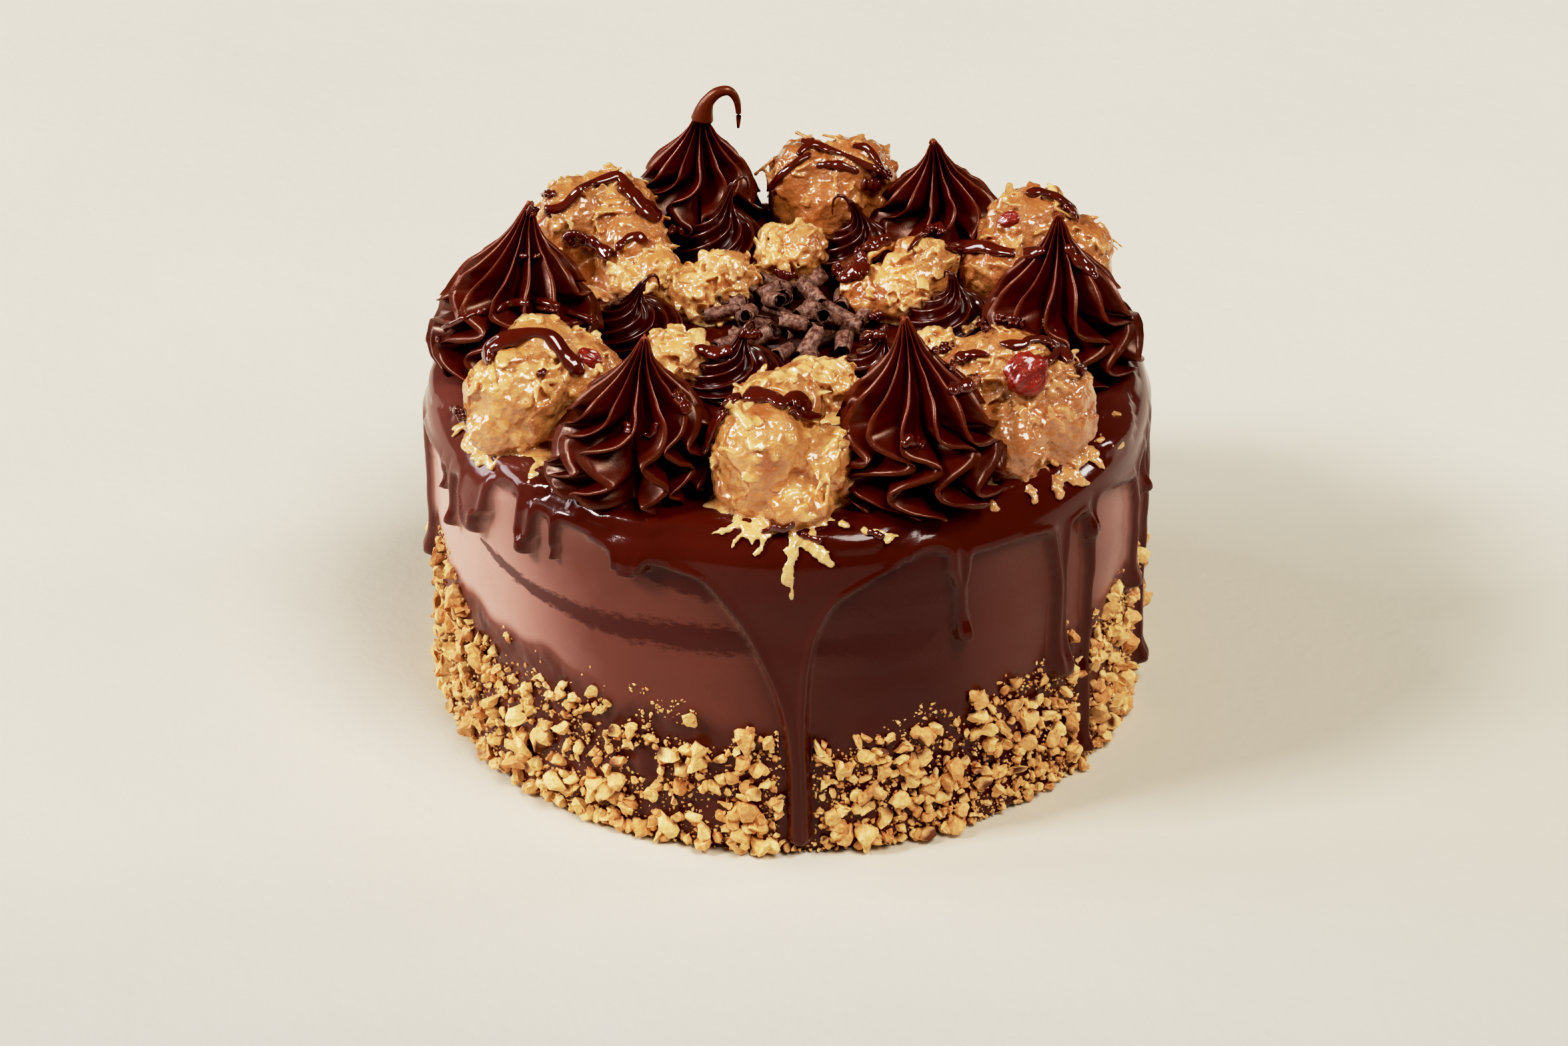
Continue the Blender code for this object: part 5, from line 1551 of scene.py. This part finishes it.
def at_view(depths, flat):
    """The depth at places of the view, blended between the four cells round each."""
    cell = (flat - VIEW_LOW) / VIEW_CELL - 0.5
    base = np.clip(np.floor(cell).astype(int), 0, np.array(depths.shape) - 2)
    share = np.clip(cell - base, 0.0, 1.0)
    i, j = base[..., 0], base[..., 1]
    low = depths[i, j] * (1 - share[..., 0]) + depths[i + 1, j] * share[..., 0]
    high = depths[i, j + 1] * (1 - share[..., 0]) + depths[i + 1, j + 1] * share[..., 0]
    return low * (1 - share[..., 1]) + high * share[..., 1]


def stretches(depths):
    """The first and last points of each stretch of a ribbon between its steps in depth."""
    cuts = np.flatnonzero(np.abs(np.diff(depths)) > DEPTH_STEP) + 1
    edges = np.concatenate(((0,), cuts, (len(depths),)))
    return [(start, end) for start, end in zip(edges[:-1], edges[1:]) if end - start >= SHORTEST_STRETCH]


def laid_ribbons(name, ribbons, flatness, depths, slot, finish, **measures):
    """Ribbons laid on the skins in view: strips T sqrt(1 - u^2) thick for u across each.

    A ribbon is cut where the skin below it steps back. Each measure is one number for every point.
    """
    lanes = np.linspace(-1.0, 1.0, RIBBON_LANES)
    steps = np.linspace(0.0, 1.0, RIBBON_STEPS)
    back = camera_frame()[3]
    parts = []
    for count, (half_width, keys) in enumerate(ribbons):
        keys = np.asarray(keys) / 1000.0
        flat = keyed(np.column_stack((np.linspace(0, 1, len(keys)), keys)), steps)
        across = unit(np.gradient(flat, axis=0))[:, ::-1] * np.array((-1.0, 1.0))
        swell = 1.0 + 0.22 * np.sin(9.0 * steps + 1.9 * count) + 0.14 * np.sin(21.0 * steps + count)
        swell *= np.sqrt(np.clip(np.minimum(steps, 1.0 - steps) / 0.10, 0.02, 1.0))
        half = half_width / 1000.0 * swell
        spread = flat[:, None] + lanes[None, :, None] * half[:, None, None] * across[:, None]
        middle = at_view(depths, flat)
        deep = np.clip(at_view(depths, spread), middle[:, None] - LANE_SLACK, middle[:, None] + LANE_SLACK)
        for start, end in stretches(middle):
            on = even_along(from_view(spread[start:end], deep[start:end]))
            out = np.cross(np.gradient(on, axis=0), np.gradient(on, axis=1))
            out = unit(even_along(unit(out * np.sign(out @ back)[..., None])))
            thick = flatness * half[start:end, None] * np.sqrt(np.maximum(0.0, 1.0 - lanes ** 2))
            upper, lower = on + (thick + 0.00015)[..., None] * out, on - 0.0007 * out
            parts.append(closed_rings(np.concatenate((upper, lower[:, ::-1]), axis=1)))
    points, faces = joined(parts)
    values = {measure: np.full(len(points), value) for measure, value in measures.items()}
    return settled(new_piece(name, points, faces, finish, **values), slot)


def pecan_pieces(depths, finish):
    """Glazed pieces of nut pressed into the coconut: wrinkled, flattened balls.

    The skin is (a x, b y, 0.45 b z) times 1 + w, where w is noise drawn out along the piece.
    """
    back = camera_frame()[3]
    ball = ball_rings(44, 64)
    parts = []
    for count, (right, up, long, wide, degrees) in enumerate(PECANS):
        flat = np.array((right, up)) / 1000.0
        near = flat + np.array(((0.0, 0.0), (0.003, 0.0), (0.0, 0.003), (-0.003, 0.0), (0.0, -0.003)))
        around = from_view(near, at_view(depths, near))
        out = unit(unit(np.cross(around[1] - around[3], around[2] - around[4])) + 0.8 * back)
        aside = math.radians(degrees)
        along = unit(np.cross(out, np.array((-math.sin(aside), 0.0, math.cos(aside)))))
        across = np.cross(out, along)
        drawn = ball * np.array((0.5, 1.0, 1.0)) + 5.0 * count
        shape = ball * (1.0 + 0.16 * noise(drawn, 0.42, 3) + 0.10 * noise(drawn, 0.20, 4))[..., None]
        shape = shape * np.array((long, wide, 0.45 * wide)) / 1000.0
        parts.append(closed_rings(around[0] + shape[..., :1] * along + shape[..., 1:2] * across
                                  + (shape[..., 2:] + 0.0004) * out))
    points, faces = joined(parts)
    return settled(new_piece("glazed_pecans", points, faces, finish), "chopped_nuts")


def even_along(values):
    """Each value blended with its neighbours along the ribbon, (a + 2 b + c) / 4, three times."""
    for _ in range(3):
        padded = np.concatenate((values[:1], values, values[-1:]))
        values = (padded[:-2] + 2 * padded[1:-1] + padded[2:]) / 4
    return values


# ---------------------------------------------------------------- put it together

def developed():
    """The print: a plain display, darker darks by a gamma, and a curve that eases the lights."""
    view = bpy.context.scene.view_settings
    view.view_transform = "Standard"
    view.gamma = DISPLAY_GAMMA
    view.use_curve_mapping = True
    mapping = view.curve_mapping
    mapping.clip_max_x = PRINT_CURVE[-1][0]
    mapping.clip_max_y = 1.0
    mapping.black_level = (PRINT_BLACK, PRINT_BLACK, PRINT_BLACK)
    curve = mapping.curves[3]
    while len(curve.points) > 2:
        curve.points.remove(curve.points[1])
    curve.points[0].location = PRINT_CURVE[0]
    curve.points[1].location = PRINT_CURVE[-1]
    for light, shown in PRINT_CURVE[1:-1]:
        curve.points.new(light, shown)
    mapping.update()


def soft_room():
    """The room: light that grows from the back wall to the front one, and a dimmer ceiling."""
    room = bpy.data.worlds.new("studio")
    room.use_nodes = True
    nodes, links = room.node_tree.nodes, room.node_tree.links
    way = nodes.new("ShaderNodeSeparateXYZ")
    links.new(nodes.new("ShaderNodeTexCoord").outputs["Generated"], way.inputs[0])
    shares = []
    for axis, low, high, to_low, to_high in (("Y", -0.6, 0.6, 1.0, 0.35), ("Z", 0.70, 0.95, 1.0, 0.55)):
        share = nodes.new("ShaderNodeMapRange")
        share.interpolation_type = "SMOOTHSTEP"
        for socket, number in zip(("From Min", "From Max", "To Min", "To Max"), (low, high, to_low, to_high)):
            share.inputs[socket].default_value = number
        links.new(way.outputs[axis], share.inputs["Value"])
        shares.append(share.outputs["Result"])
    both = nodes.new("ShaderNodeMath")
    both.operation = "MULTIPLY"
    links.new(shares[0], both.inputs[0])
    links.new(shares[1], both.inputs[1])
    scaled = nodes.new("ShaderNodeMath")
    scaled.operation = "MULTIPLY"
    links.new(both.outputs[0], scaled.inputs[0])
    scaled.inputs[1].default_value = ROOM_LIGHT
    links.new(scaled.outputs[0], nodes["Background"].inputs["Strength"])
    nodes["Background"].inputs["Color"].default_value = (1.0, 0.965, 0.89, 1.0)
    return room


def studio():
    """The pale floor, soft lights and the camera at the photograph's angle."""
    steps = np.linspace(-FLOOR_HALF, FLOOR_HALF, 3)
    x, y = np.meshgrid(steps, steps)
    points = np.column_stack((x.ravel(), y.ravel(), np.full(x.size, FLOOR_HEIGHT)))
    quads = np.array([[at, at + 1, at + 4, at + 3] for at in (0, 1, 3, 4)])
    paint = Finish("pale_plaster", Roughness=0.6, Specular_IOR_Level=0.25)
    tone = paint.span(paint.grain(6.0, 4.0), 0.3, 0.7)
    # Painted shade: the floor is painted darker towards the front, below y = -0.09, as if the lights reached
    # it less there.
    near = paint.add("ShaderNodeSeparateXYZ", Vector=paint.spot).outputs["Y"]
    plain = paint.mixed(tone, (0.735, 0.678, 0.572), (0.700, 0.642, 0.536))
    paint.set("Base Color", paint.mixed(paint.span(near, -0.26, -0.09), (0.540, 0.510, 0.460), plain))
    paint.bump(paint.grain(45.0, 5.0, 0.6), 0.0012, 0.35)
    paint.bump(paint.grain(260.0, 3.0), 0.0006, 0.25)
    new_piece("floor", points, [quads], paint.material)
    for name, way, distance, width, power, colour in LAMPS:
        lamp = bpy.data.lights.new(name, "AREA")
        lamp.shape = "SQUARE"
        lamp.size = width
        lamp.energy = power
        lamp.color = colour
        stand = bpy.data.objects.new(name, lamp)
        way = Vector(way).normalized()
        stand.location = Vector(LAMPS_AIM) + way * distance
        stand.rotation_euler = way.to_track_quat("Z", "Y").to_euler()
        bpy.context.scene.collection.objects.link(stand)
    bpy.context.scene.world = soft_room()
    developed()
    camera = bpy.data.objects.new("camera", bpy.data.cameras.new("camera"))
    rise = math.radians(CAMERA_ELEVATION)
    back = Vector((0.0, -math.cos(rise), math.sin(rise)))
    camera.location = Vector(LOOK_AT) + back * CAMERA_DISTANCE
    camera.rotation_euler = back.to_track_quat("Z", "Y").to_euler()
    camera.data.lens = CAMERA_LENS
    camera.data.sensor_width = CAMERA_SENSOR
    bpy.context.scene.collection.objects.link(camera)
    bpy.context.scene.camera = camera


def main():
    """Make every piece of the cake and the studio round it."""
    studio()
    iced_cake(ganache_finish())
    nuts = nut_finish()
    rng = np.random.default_rng(NUT_SEED)
    for settings in NUTS:
        nut_pieces(rng, *settings, nuts)
    piped, wet, coconut = piped_finish(), swirl_finish(), coconut_finish()
    toppings = [rosette(*settings, piped) for settings in ROSETTES]
    toppings += [swirl(*settings, wet) for settings in SWIRLS]
    toppings += [coconut_ball(number, coconut) for number in range(1, len(COCONUT_BALLS) + 1)]
    toppings += [coconut_clump(number, coconut) for number in range(1, len(COCONUT_CLUMPS) + 1)]
    chocolate_curls(curl_finish())
    depths = depth_map(toppings)
    laid_ribbons("syrup_ribbons", RIBBONS, SYRUP_FLATNESS, eased(depths), "syrup", syrup_finish())
    laid_ribbons("pale_shreds", PALE_SHREDS, SHRED_FLATNESS, depths, "coconut_icing", coconut,
                 proud=1.0, tone=0.0)
    pecan_pieces(depths, pecan_finish())


main()
